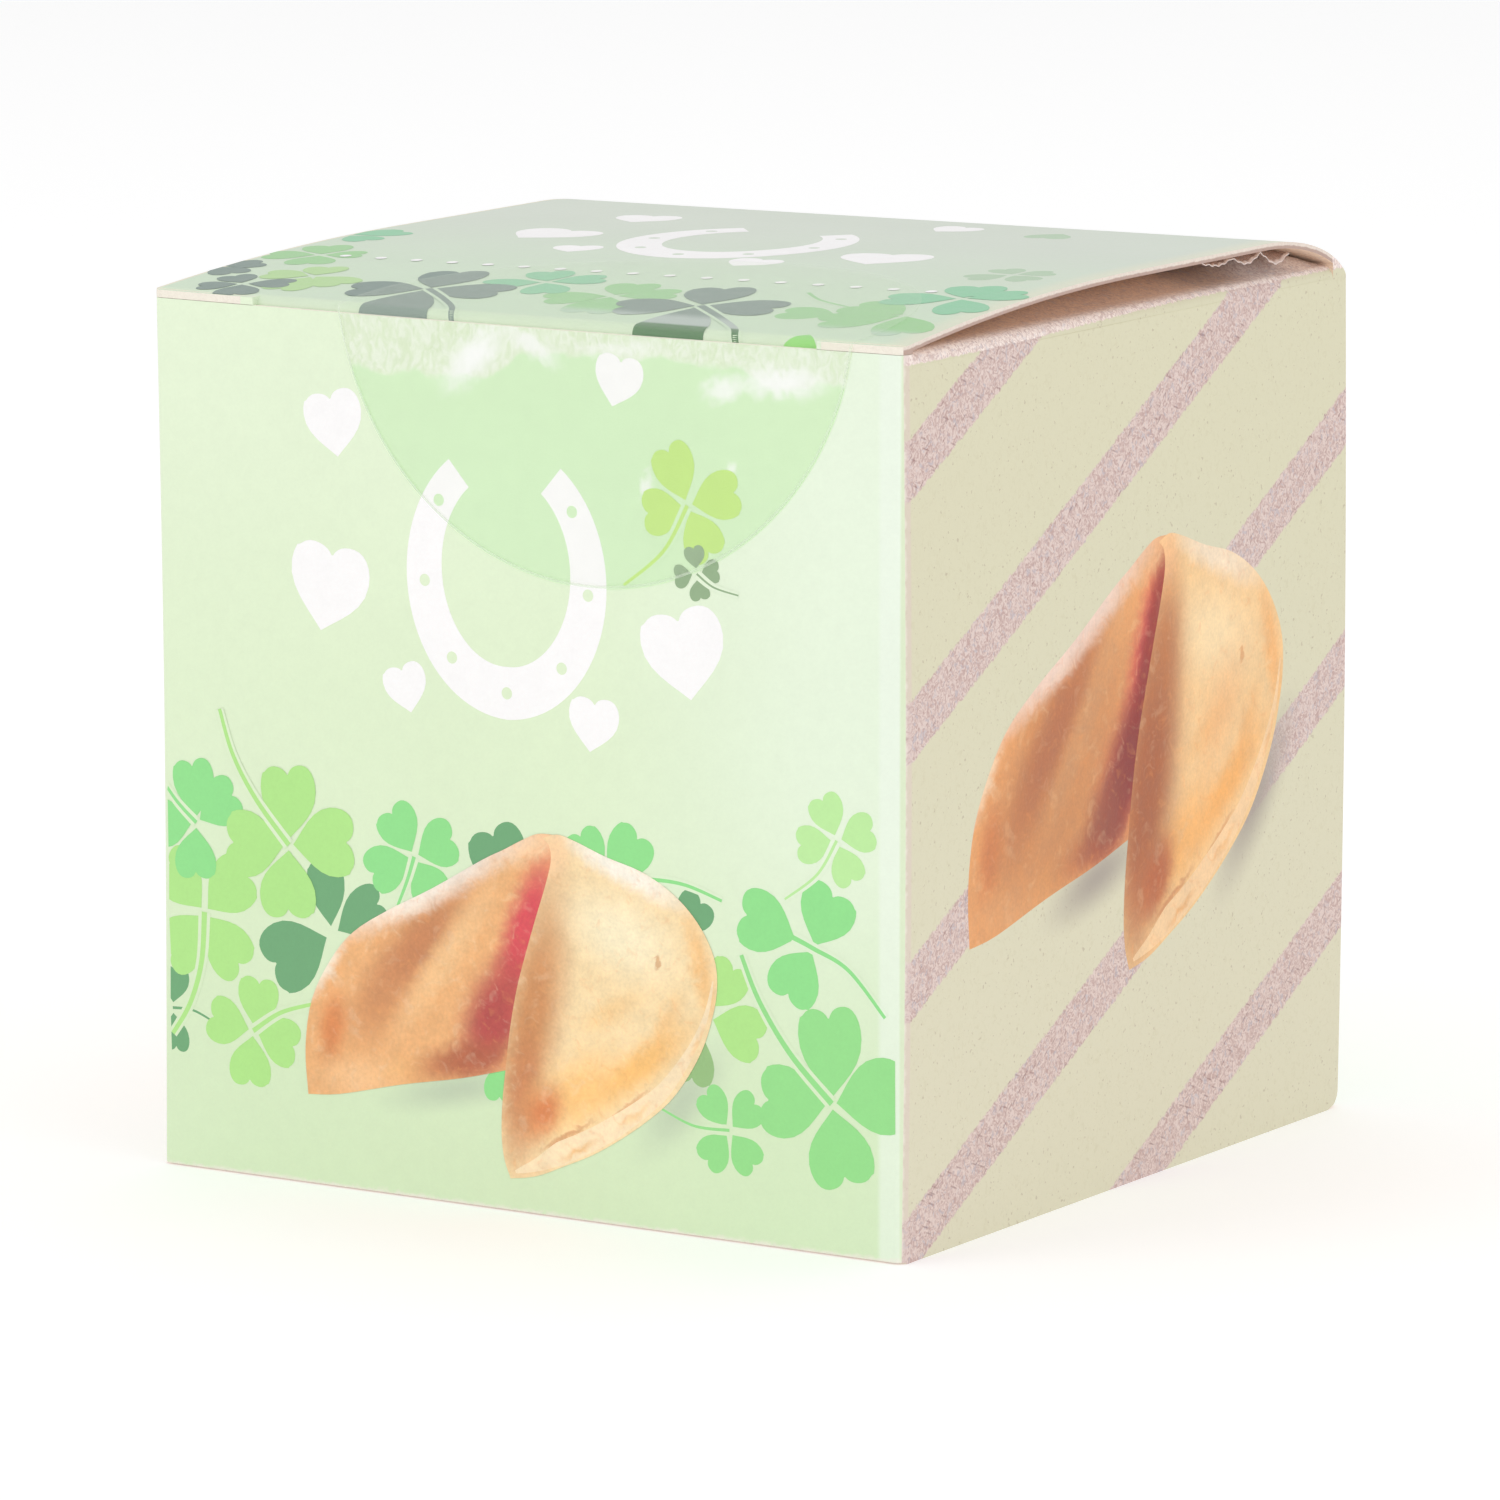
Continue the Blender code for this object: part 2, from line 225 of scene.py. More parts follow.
def take(piece):
    """Select one piece alone."""
    deselect_all()
    piece.select_set(True)
    bpy.context.view_layer.objects.active = piece


def named(name):
    """Name the primitive just added and put its place into its mesh."""
    piece = bpy.context.object
    piece.name = name
    piece.data.name = name
    bpy.ops.object.transform_apply(location=True, rotation=True, scale=True)
    return piece


def new_box(name, low, high):
    """A box between two corners."""
    deselect_all()
    middle = [(a + b) / 2 for a, b in zip(low, high)]
    size = [b - a for a, b in zip(low, high)]
    bpy.ops.mesh.primitive_cube_add(size=1, location=middle, scale=size)
    return named(name)


def new_grid(name, columns, rows, place):
    """A sheet of columns and rows, each crossing put where place says."""
    deselect_all()
    bpy.ops.mesh.primitive_grid_add(x_subdivisions=columns, y_subdivisions=rows, size=1)
    piece = named(name)
    for vertex in piece.data.vertices:
        column = round((vertex.co.x + 0.5) * columns)
        row = round((vertex.co.y + 0.5) * rows)
        vertex.co = place(column, row)
    return piece


def raise_sheet(piece, over):
    """Extrude a sheet into a closed body whose upper side lies where over says."""
    take(piece)
    bpy.ops.object.mode_set(mode="EDIT")
    bpy.ops.mesh.select_all(action="SELECT")
    bpy.ops.mesh.extrude_region_move(TRANSFORM_OT_translate={"value": (0, 0, MM)})
    mesh = bmesh.from_edit_mesh(piece.data)
    for vertex in mesh.verts:
        if vertex.select:
            vertex.co.z = over(vertex.co.x, vertex.co.y)
    bmesh.update_edit_mesh(piece.data)
    bpy.ops.mesh.select_all(action="SELECT")
    bpy.ops.mesh.normals_make_consistent(inside=False)
    bpy.ops.object.mode_set(mode="OBJECT")


def cut_rows(piece, axis, places):
    """Cut a piece across at each place along an axis."""
    take(piece)
    direction = [1.0 if index == axis else 0.0 for index in range(3)]
    bpy.ops.object.mode_set(mode="EDIT")
    for place in places:
        bpy.ops.mesh.select_all(action="SELECT")
        point = [place * part for part in direction]
        bpy.ops.mesh.bisect(plane_co=point, plane_no=direction, use_fill=False)
    bpy.ops.object.mode_set(mode="OBJECT")


def bevel_edges(piece, width, segments, chosen):
    """Round the edges that the test picks."""
    take(piece)
    bpy.ops.object.mode_set(mode="EDIT")
    bpy.ops.mesh.select_mode(type="EDGE")
    bpy.ops.mesh.select_all(action="DESELECT")
    mesh = bmesh.from_edit_mesh(piece.data)
    for edge in mesh.edges:
        edge.select_set(chosen(edge.verts[0].co, edge.verts[1].co))
    bmesh.update_edit_mesh(piece.data)
    bpy.ops.mesh.bevel(offset=width, segments=segments, profile=0.5)
    bpy.ops.mesh.select_mode(type="VERT")
    bpy.ops.object.mode_set(mode="OBJECT")


def carve(piece, cutter):
    """Cut one body out of a piece and remove the cutter."""
    take(piece)
    boolean = piece.modifiers.new("cut", "BOOLEAN")
    boolean.operation = "DIFFERENCE"
    boolean.solver = "EXACT"
    boolean.object = cutter
    bpy.ops.object.modifier_apply(modifier=boolean.name)
    bpy.data.objects.remove(cutter, do_unlink=True)


def smooth(piece):
    """Shade the rounded stretches smooth and keep the cut edges sharp."""
    take(piece)
    bpy.ops.object.shade_smooth_by_angle(angle=SMOOTH_ANGLE)


def dress(piece, slot, *nodes):
    """Fix a finished piece to the carton and hide the solids it stands for; its finish slot is not used."""
    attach(piece, "root")
    if nodes:
        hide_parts(*nodes)
    return piece


# The folded card

def spring_walls(piece):
    """Move the plain block's faces to the sprung, slightly dented walls."""
    for vertex in piece.data.vertices:
        x, y, z = vertex.co
        front = y < MID_DEPTH
        new_y = y + (front_y(x, z) - FRONT_FOLD if front else back_y(x, z) - BACK_FOLD)
        side = 1 if x > 0 else -1
        new_x = x + side_x(y, z, side) - side * HALF_WIDTH
        vertex.co = (new_x, new_y, z)


def card_block():
    """The four walls and the base as one block, taller than the lid."""
    top = CUT_TOP - MM
    block = new_box("carton_card", (-HALF_WIDTH, FRONT_FOLD, 0.0), (HALF_WIDTH, BACK_FOLD, top))
    bevel_edges(block, CORNER_RADIUS, FOLD_STEPS, lambda a, b: abs(a.z - b.z) > WIDTH / 2)
    cut_rows(block, 0, rows_between(-HALF_WIDTH, HALF_WIDTH, CARD_STEP))
    cut_rows(block, 1, rows_between(FRONT_FOLD, BACK_FOLD, CARD_STEP))
    turns = spread(0.0, math.pi / 2, FOLD_STEPS)[1:]
    foot = [BASE_FOLD_RADIUS * (1 - math.cos(turn)) for turn in turns]
    cut_rows(block, 2, foot + rows_between(BASE_FOLD_RADIUS, WALL_TOP, CARD_STEP))
    spring_walls(block)
    return block


def lid_profile(x):
    """Points over the carton from front to back: wall edge, tuck fold, arch and hinge."""
    start = tuck_start(x)
    edge_z = FRONT_EDGE_TOP if tucked(x) else LID_FRONT_TOP
    profile = [(x, FRONT_FOLD - CUT_MARGIN, edge_z), (x, start - SHARP_STEP, edge_z)]
    for turn in spread(0.0, math.pi / 2, FOLD_STEPS):
        y = start + TUCK_FOLD_RADIUS * (1 - math.cos(turn))
        drop = TUCK_FOLD_RADIUS * (1 - math.sin(turn)) if tucked(x) else 0.0
        profile.append((x, y, lid_top(x, y) - drop))
    arch_start = FRONT_FOLD + CARD + TUCK_FOLD_RADIUS
    profile += [(x, y, lid_top(x, y)) for y in rows_between(arch_start, HINGE_START, CARD_STEP)]
    turns = spread(0.0, math.asin(HINGE_LAST_SHARE), HINGE_STEPS)
    hinge_ys = [HINGE_START + HINGE_RUN * math.sin(turn) for turn in turns]
    profile += [(x, y, lid_top(x, y)) for y in hinge_ys]
    hinge_end = LID_FRONT_TOP + lid_rise(x) - HINGE_DROP
    return profile + [(x, y, hinge_end) for y in (BACK_FOLD, BACK_FOLD + CUT_MARGIN)]


def air_over_lid():
    """Cutter for all that lies over the lid, its tuck fold and the front wall's edge."""
    inner = [TUCK_LEFT + SHARP_STEP, TUCK_RIGHT - SHARP_STEP]
    xs = [-HALF_WIDTH - CUT_MARGIN] + spread(LEFT_AT_TOP, TUCK_LEFT - SHARP_STEP, SHOULDER_STEPS)
    xs += [inner[0]] + rows_between(inner[0], inner[1], CARD_STEP) + [inner[1]]
    xs += spread(TUCK_RIGHT + SHARP_STEP, RIGHT_AT_TOP, SHOULDER_STEPS) + [HALF_WIDTH + CUT_MARGIN]
    profiles = [lid_profile(x) for x in xs]
    last_row = len(profiles[0]) - 1
    cutter = new_grid("air", len(xs) - 1, last_row, lambda column, row: profiles[column][row])
    raise_sheet(cutter, lambda x, y: CUT_TOP)
    return cutter


def gap_under_lid():
    """Cutter for the open wedge between the lid and the dust flaps, from side to side."""
    turns = spread(0.0, math.pi / 2, FOLD_STEPS)
    falls = [FLAP_FOLD_RADIUS * (1 - math.sin(turn)) for turn in turns]
    left = [LEFT_AT_TOP + fall for fall in reversed(falls)]
    right = [RIGHT_AT_TOP - fall for fall in falls]
    xs = [LEFT_AT_TOP - CUT_MARGIN] + left + rows_between(left[-1], right[0], CARD_STEP)
    xs += right + [RIGHT_AT_TOP + CUT_MARGIN]
    ys = spread(GAP_FRONT, HINGE_START, GAP_STEPS)
    ys += rows_between(HINGE_START, GAP_BACK, CARD_STEP / 2) + [GAP_BACK]

    def on_flap(column, row):
        x, y = xs[column], ys[row]
        return x, y, flap_top(x) + flap_spring(x, y)

    cutter = new_grid("gap", len(xs) - 1, len(ys) - 1, on_flap)
    raise_sheet(cutter, lambda x, y: max(lid_underside(x, y), FLAP_TOP + SLIT_HEIGHT))
    return cutter


def card_cutters():
    """Boxes for the lid's front slits, the step under the front wall and the glued seam."""
    past = HALF_WIDTH + CUT_MARGIN
    near = FRONT_FOLD - CUT_MARGIN
    slit_top = FRONT_EDGE_TOP + SLIT_HEIGHT
    slit_back = GAP_FRONT + SLIT_OVERLAP
    seam_front = BACK_FOLD - SEAM_INSET
    return [
        new_box("slit_left", (-past, near, FRONT_EDGE_TOP), (TUCK_LEFT, slit_back, slit_top)),
        new_box("slit_right", (TUCK_RIGHT, near, FRONT_EDGE_TOP), (past, slit_back, slit_top)),
        new_box("base_step", (-past, near, -CUT_MARGIN),
                (past, FRONT_FOLD + BASE_STEP_INSET, BASE_STEP_HEIGHT)),
        new_box("seam", (-past, seam_front, -CUT_MARGIN),
                (LEFT_AT_TOP + SEAM_DEPTH, seam_front + SEAM_WIDTH, SEAM_TOP)),
    ]


FINISHES = ["front_print", "side_print", "lid_print", "back_print",
            "raw_edge", "shoulder_edge", "inner_card"]
TINY = 0.05 * MM
LID_EDGE_REACH = 4.0 * MM
SQUARELY = 0.7
HALF_TURNED = 0.5
UPWARD = 0.3


def card_finish(place, normal):
    """Which finish a face of the card takes, by its place and the way it looks."""
    x, y, z = place
    at_side = abs(normal.x) > SQUARELY and abs(x) > HALF_WIDTH - MM
    lid_edge = z > max(lid_underside(x, y), FRONT_EDGE_TOP + TINY) - TINY
    if at_side and z > FLAP_TOP - LID_EDGE_REACH and lid_edge:
        return "raw_edge"
    if at_side:
        return "side_print"
    if z < MM and normal.z < -HALF_TURNED:
        return "inner_card"
    under_lid = z < lid_underside(x, y) + TINY and z > FLAP_TOP - FLAP_FOLD_RADIUS - TINY
    in_slit = y < GAP_FRONT + SLIT_OVERLAP + TINY and z < LID_FRONT_TOP - TINY
    if in_slit and abs(normal.z) > SQUARELY:
        if not tucked(x) or y < tuck_start(x):
            return "shoulder_edge"
    if under_lid and GAP_FRONT - TINY < y < GAP_BACK + TINY:
        return "side_print" if normal.z > 0 else "inner_card"
    shoulder_front = normal.y < -SQUARELY and z > FRONT_EDGE_TOP + TINY and not tucked(x)
    if shoulder_front:
        return "shoulder_edge"
    if normal.z > UPWARD:
        return "lid_print"
    if normal.y > 0 and z < WALL_TOP:
        return "back_print" if z < LID_FRONT_TOP + lid_rise(x) - HINGE_DROP else "lid_print"
    if tucked(x) and z > FRONT_EDGE_TOP - MM and y > front_y(x, z) + TINY:
        return "lid_print"
    return "front_print"


def make_carton(finishes):
    """The carton's card, cut and creased, with a finish for each kind of face."""
    card = card_block()
    for cutter in [air_over_lid(), gap_under_lid()] + card_cutters():
        carve(card, cutter)
    card.data.materials.clear()
    for name in FINISHES:
        card.data.materials.append(finishes[name])
    for face in card.data.polygons:
        face.material_index = FINISHES.index(card_finish(face.center, face.normal))
    depth = card.data.attributes.new("depth_in_lid", "FLOAT", "POINT")
    for vertex in card.data.vertices:
        x, y, z = vertex.co
        depth.data[vertex.index].value = (lid_top(x, y) - z) / CARD
    smooth(card)
    return dress(card, "printed_card", "carton")


# Printed shapes: flat outlines in sheet millimetres, laid on the card in thin layers of ink

INK_THICKNESS = 0.0018 * MM
INK_PITCH = 0.0025 * MM
INK_START = 0.002 * MM
LAYERS_A_CLOVER = 3
PRINT_STEP = 1.5 * MM
LEAF_STEPS = 6
STEM_STEPS = 14
LEAF_GAP = 0.38
LEAF_STAGGER = 0.25
STEM_GAP = 0.28
STEM_TAPER = 0.7
ROUND_STEPS = 16

# Half of a clover leaf of length and width 1: point to flank, flank to lobe, lobe to notch
LEAF_CURVES = [
    [(0.0, 0.0), (0.19, 0.18), (0.50, 0.36), (0.50, 0.66)],
    [(0.50, 0.66), (0.50, 0.88), (0.38, 1.0), (0.25, 1.0)],
    [(0.25, 1.0), (0.12, 1.0), (0.03, 0.95), (0.0, 0.86)],
]
SECOND_LOBE = 0.95


def along_bezier(points, steps):
    """Points of a cubic curve, without its last."""
    found = []
    for step in range(steps):
        t = step / steps
        weights = ((1 - t) ** 3, 3 * t * (1 - t) ** 2, 3 * t * t * (1 - t), t ** 3)
        found.append(tuple(sum(w * p[axis] for w, p in zip(weights, points)) for axis in (0, 1)))
    return found


def leaf_outline():
    """A heart-shaped leaf from its point round both lobes, one lobe slightly the smaller."""
    right = [point for curve in LEAF_CURVES for point in along_bezier(curve, LEAF_STEPS)]
    notch = LEAF_CURVES[-1][-1]
    left = [(-x, y * SECOND_LOBE if y > notch[1] else y) for x, y in reversed(right[1:])]
    return right + [notch] + left


def smooth_route(points, steps):
    """A smooth run through a few points, with so many steps between neighbours."""
    ends = [points[0]] + list(points) + [points[-1]]
    found = []
    for index in range(1, len(ends) - 2):
        before, start, end, after = ends[index - 1:index + 3]
        for step in range(steps):
            t = step / steps
            found.append(tuple(
                0.5 * (2 * start[axis] + (end[axis] - before[axis]) * t
                       + (2 * before[axis] - 5 * start[axis] + 4 * end[axis] - after[axis]) * t * t
                       + (3 * start[axis] - before[axis] - 3 * end[axis] + after[axis]) * t ** 3)
                for axis in (0, 1)))
    return found + [tuple(points[-1])]


def flat_shape(name, outline, layer, ink):
    """A filled outline in sheet millimetres, at the height of its layer of ink."""
    deselect_all()
    bpy.ops.mesh.primitive_circle_add(vertices=len(outline), radius=1, fill_type="NGON")
    shape = bpy.context.object
    shape.name = name
    for vertex, (u, v) in zip(shape.data.vertices, outline):
        vertex.co = (u * MM, v * MM, INK_START + layer * INK_PITCH)
    shape.data.materials.append(ink)
    return shape


def flat_ribbon(name, route, widths, layer, ink):
    """A ribbon along a route, its width running evenly through the widths given."""
    deselect_all()
    bpy.ops.mesh.primitive_grid_add(x_subdivisions=len(route) - 1, y_subdivisions=1, size=1)
    ribbon = bpy.context.object
    ribbon.name = name
    last = len(route) - 1
    height = INK_START + layer * INK_PITCH
    for vertex in ribbon.data.vertices:
        step = round((vertex.co.x + 0.5) * last)
        side = 1 if vertex.co.y > 0 else -1
        before = Vector(route[max(step - 1, 0)])
        after = Vector(route[min(step + 1, last)])
        run = (after - before).normalized()
        way = step / last * (len(widths) - 1)
        first = min(int(way), len(widths) - 2)
        half = (widths[first] + (widths[first + 1] - widths[first]) * (way - first)) / 2
        u = route[step][0] - run.y * half * side
        v = route[step][1] + run.x * half * side
        vertex.co = (u * MM, v * MM, height)
    ribbon.data.materials.append(ink)
    return ribbon


def circle(centre, radius):
    """Points round a small circle."""
    turns = spread(0.0, 2 * math.pi, ROUND_STEPS)[:-1]
    return [(centre[0] + radius * math.cos(turn), centre[1] + radius * math.sin(turn)) for turn in turns]


def copied(master, ink, place, layer):
    """A copy of a flat master shape with its own mesh, ink, place and layer."""
    mesh = master.data.copy()
    mesh.materials.clear()
    mesh.materials.append(ink)
    copy = bpy.data.objects.new(master.name, mesh)
    bpy.context.scene.collection.objects.link(copy)
    for vertex in mesh.vertices:
        u, v = place(vertex.co.x / MM, vertex.co.y / MM)
        vertex.co = (u * MM, v * MM, INK_START + layer * INK_PITCH)
    return copy


def leaf_place(centre, angle, reach, width, gap, flip):
    """Puts a leaf of length and width 1 at its clover's centre, turned by its angle."""
    turn = math.radians(angle - 90)
    cos, sin = math.cos(turn), math.sin(turn)

    def place(u, v):
        across = u * width * flip
        along = gap + v * (reach - gap)
        return centre[0] + across * cos - along * sin, centre[1] + across * sin + along * cos
    return place


def clover_shapes(clover, inks, ground, leaf):
    """The leaves of one clover, and its stem over a pale outline."""
    tone, order, centre, leaves, stem, stem_width = clover
    layer = order * LAYERS_A_CLOVER
    shapes = []
    for index, (angle, reach, width, *gap) in enumerate(leaves):
        flip = -1 if index % 2 else 1
        place = leaf_place(centre, angle, reach, width, gap[0] if gap else LEAF_GAP, flip)
        shapes.append(copied(leaf, inks[tone], place, layer + index % 2 * LEAF_STAGGER))
    if stem:
        route = smooth_route(stem, STEM_STEPS)
        pale = [stem_width + 2 * STEM_GAP, stem_width + STEM_GAP]
        shapes.append(flat_ribbon("stem_outline", route, pale, layer + 1, ground))
        widths = [stem_width, stem_width * STEM_TAPER]
        shapes.append(flat_ribbon("stem", route, widths, layer + 2, inks[tone]))
    return shapes


def joined(name, shapes):
    """Join flat shapes into one piece."""
    take(shapes[0])
    for shape in shapes:
        shape.select_set(True)
    bpy.ops.object.join()
    piece = bpy.context.object
    piece.name = name
    piece.data.name = name
    return piece


def trim(piece, outside):
    """Delete the faces whose middle lies outside the printed panel."""
    take(piece)
    bpy.ops.object.mode_set(mode="EDIT")
    bpy.ops.mesh.select_mode(type="FACE")
    bpy.ops.mesh.select_all(action="DESELECT")
    mesh = bmesh.from_edit_mesh(piece.data)
    for face in mesh.faces:
        middle = face.calc_center_median()
        face.select_set(outside(middle.x, middle.y))
    bmesh.update_edit_mesh(piece.data)
    bpy.ops.mesh.delete(type="FACE")
    bpy.ops.mesh.select_mode(type="VERT")
    bpy.ops.object.mode_set(mode="OBJECT")


def lay_on(piece, surface, us, vs, outside=None, thickness=INK_THICKNESS):
    """Cut a flat print into rows and columns, give it its thickness and lay it on the card."""
    cut_rows(piece, 0, us)
    cut_rows(piece, 1, vs)
    if outside:
        trim(piece, outside)
    take(piece)
    bpy.ops.object.mode_set(mode="EDIT")
    bpy.ops.mesh.select_all(action="SELECT")
    bpy.ops.mesh.extrude_region_move(TRANSFORM_OT_translate={"value": (0, 0, thickness)})
    bpy.ops.mesh.select_all(action="SELECT")
    bpy.ops.mesh.normals_make_consistent(inside=False)
    bpy.ops.object.mode_set(mode="OBJECT")
    for vertex in piece.data.vertices:
        vertex.co = surface(*vertex.co)
    smooth(piece)
    return piece


def on_front(u, v, w):
    """Front panel: u to the right, v up, w off the card."""
    return u, front_y(u, v) - w, v


def on_back(u, v, w):
    """Back panel, seen from behind."""
    return -u, back_y(-u, v) + w, v


def on_right(u, v, w):
    """Right side panel, u towards the back."""
    return side_x(u, v, 1) + w, u, v


def on_left(u, v, w):
    """Left side panel, u towards the front."""
    y = 2 * MID_DEPTH - u
    return side_x(y, v, -1) - w, y, v


def on_lid(u, v, w):
    """Lid, v towards the back, with the tuck fold where v runs past the front edge."""
    bend = tuck_start(u) + TUCK_FOLD_RADIUS
    if v >= bend or not tucked(u):
        return u, v, lid_top(u, v) + w
    turn = min((bend - v) / TUCK_FOLD_RADIUS, math.pi / 2)
    further = bend - v - TUCK_FOLD_RADIUS * turn
    y = bend - TUCK_FOLD_RADIUS * math.sin(turn)
    z = lid_top(u, y) - TUCK_FOLD_RADIUS * (1 - math.cos(turn)) - further
    return u, y - w * math.sin(turn), z + w * math.cos(turn)


# Clovers: tone, order, centre, leaves (angle, reach, width, gap at the point), stem route, stem width

FRONT_CLOVERS = [
    ("mid", 2, (-26.9, 24.3), [(94, 4.5, 3.5), (36, 4.3, 3.5), (-92, 4.0, 3.5), (186, 4.0, 3.4)],
     [(-26.9, 24.3), (-28.6, 25.7), (-30.2, 27.6)], 0.3),
    ("light_yellow", 3, (-19.1, 23.5), [(90, 5.6, 4.6), (8, 5.6, 4.8), (-92, 5.2, 4.7), (184, 5.4, 4.7)],
     [(-19.1, 23.5), (-21.8, 26.4), (-23.7, 29.3), (-24.8, 32.4)], 0.4),
    ("light_yellow", 1, (-26.3, 18.1), [(133, 4.9, 4.0), (42, 5.0, 4.1), (-50, 5.0, 4.0), (-131, 5.0, 4.0)],
     [(-26.3, 18.1), (-26.6, 14.6), (-27.6, 11.6), (-29.1, 9.3)], 0.45),
    ("dark", 0, (-29.1, 11.1), [(84, 3.0, 2.4), (-84, 3.1, 2.3), (180, 3.0, 2.4)],
     [(-29.1, 11.1), (-27.4, 11.1), (-25.7, 10.5)], 0.2),
    ("light_yellow", 1, (-22.3, 10.2), [(80, 3.9, 3.4), (-12, 3.9, 3.5), (-96, 4.0, 3.5), (170, 3.9, 3.4)],
     [(-22.3, 10.2), (-20.0, 11.7), (-17.3, 12.6)], 0.35),
    ("dark", 0, (-15.6, 17.6), [(97, 5.3, 3.1, 0.6), (34, 5.2, 3.4, 0.6), (207, 6.1, 5.0, 0.5)], None, 0),
    ("mid", 1, (-8.7, 23.7), [(122, 3.8, 3.5), (27, 3.8, 3.4), (203, 4.2, 3.3), (-58, 3.5, 3.3)],
     [(-8.7, 23.7), (-9.3, 22.0), (-10.1, 20.2)], 0.3),
    ("dark", 0, (-0.8, 21.2), [(107, 5.5, 4.7)], None, 0),
    ("mid", 1, (6.7, 23.7), [(48, 4.5, 3.6), (126, 3.8, 3.1)],
     [(6.7, 23.7), (10.2, 24.0), (13.0, 23.9), (15.9, 23.1)], 0.3),
    ("dark", 0, (12.2, 20.6), [(46, 3.4, 3.0)], None, 0),
    ("light_yellow", 1, (14.4, 15.2), [(54, 4.6, 3.3, 0.8), (-15, 4.9, 3.9, 0.8)], None, 0),
    ("dull", 0, (14.4, 14.2), [(-106, 4.0, 3.2)], None, 0),
    ("mid", 0, (-1.6, 10.6), [(-98, 3.2, 2.6)], None, 0),
    ("mid_deep", 0, (16.4, 7.6), [(128, 3.2, 2.5), (46, 3.2, 2.6), (-50, 3.2, 2.6), (-127, 3.2, 2.6)],
     [(16.4, 7.6), (13.6, 7.6), (11.0, 8.5)], 0.22),
    ("mid_deep", 1, (24.4, 10.3), [(92, 6.6, 4.9), (13, 6.0, 5.2), (-79, 5.7, 5.1), (184, 5.7, 5.0)],
     [(24.4, 10.3), (21.2, 13.3), (18.8, 16.6), (17.4, 19.6)], 0.45),
    ("mid", 1, (23.0, 20.6), [(161, 6.1, 4.3, 1.5), (68, 4.5, 4.3, 0.25), (-122, 4.4, 4.0, 0.25)],
     [(21.4, 21.2), (23.0, 20.6), (25.7, 19.4), (28.5, 16.5)], 0.35),
    ("light", 1, (24.8, 28.0), [(112, 3.2, 2.7), (20, 3.1, 2.7), (-66, 3.1, 2.6), (192, 3.2, 2.6)],
     [(24.8, 28.0), (23.3, 25.6), (20.8, 23.7)], 0.22),
    ("yellow_green", 1, (13.4, 49.4), [(112, 4.3, 3.3), (18, 4.3, 3.3), (-62, 3.9, 3.2), (194, 3.6, 3.2)],
     [(13.4, 49.4), (11.5, 46.2), (8.4, 43.7)], 0.3),
    ("grey_green", 2, (14.1, 44.9), [(98, 1.9, 1.6), (12, 1.8, 1.6), (-80, 1.8, 1.6), (192, 1.8, 1.6)],
     [(14.1, 44.9), (15.4, 44.1), (17.3, 43.7)], 0.15),
]

LID_CLOVERS = [
    ("lid_dark_glare_grey", 3, (-11.4, -23.8), [(102, 6.6, 4.7), (6, 6.0, 4.9), (197, 5.8, 5.0), (-80, 10.2, 5.6)],
     [(-11.4, -23.8), (-8.6, -26.2), (-6.4, -28.4), (-5.4, -30.2), (-5.2, -31.2)], 0.5),
    ("lid_dark_glare_grey", 3, (9.9, -23.0), [(105, 6.4, 4.8), (8, 6.0, 4.9), (200, 6.0, 5.0), (-76, 10.6, 5.4)],
     [(9.9, -23.0), (13.2, -25.8), (15.9, -28.3), (17.0, -30.2), (17.1, -31.2)], 0.58),
    ("lid_teal", 2, (-4.9, -19.2), [(118, 4.3, 3.4), (38, 4.2, 3.4), (208, 4.4, 3.3), (-58, 4.3, 3.4)],
     None, 0),
    ("lid_green", 1, (2.3, -22.0), [(98, 4.6, 3.8), (28, 4.6, 3.6), (208, 4.8, 3.9), (-78, 5.6, 4.2)],
     None, 0),
    ("lid_green", 1, (-26.3, -15.2), [(115, 4.4, 3.6), (200, 4.0, 3.4), (-70, 4.0, 3.6), (25, 3.2, 3.0)],
     None, 0),
    ("lid_light", 2, (-21.8, -22.5), [(105, 3.6, 3.2), (-25, 4.4, 3.6), (185, 3.9, 3.2), (-85, 5.0, 3.6)],
     None, 0),
    ("lid_dark_glare_grey", 3, (-25.0, -26.3), [(135, 3.3, 2.8), (20, 3.6, 3.0), (-65, 3.9, 3.2), (215, 3.2, 2.6)],
     None, 0),
    ("lid_dark_glare_grey", 2, (-30.6, -21.5), [(40, 3.4, 3.0), (-35, 3.6, 3.0)], None, 0),
    ("lid_teal", 1, (-30.0, -6.5), [(50, 4.5, 3.6), (-30, 3.6, 3.0)], None, 0),
    ("lid_teal", 2, (25.6, -15.4), [(105, 5.0, 4.2), (40, 4.6, 3.6), (-60, 5.4, 3.8), (200, 5.4, 4.2)],
     None, 0),
    ("lid_green", 1, (25.0, -21.5), [(160, 5.6, 4.6), (218, 6.0, 4.6), (-62, 6.0, 4.2)], None, 0),
    ("lid_green", 0, (20.8, -22.9), [(182, 4.6, 3.8)],
     [(14.5, -16.8), (16.8, -18.9), (20.0, -20.4)], 0.3),
    ("lid_sage", 0, (23.6, -5.4), [(130, 3.2, 2.6), (45, 3.0, 2.6), (-40, 3.2, 2.6), (-130, 3.4, 2.8)],
     None, 0),
    ("lid_bright", 1, (21.8, -28.0), [(-90, 3.6, 2.9)], None, 0),
    ("lid_sage", 0, (14.3, 17.6), [(-90, 3.6, 3.4)], None, 0),
]


# The printed cookie, in front panel millimetres: two wings either side of the fold

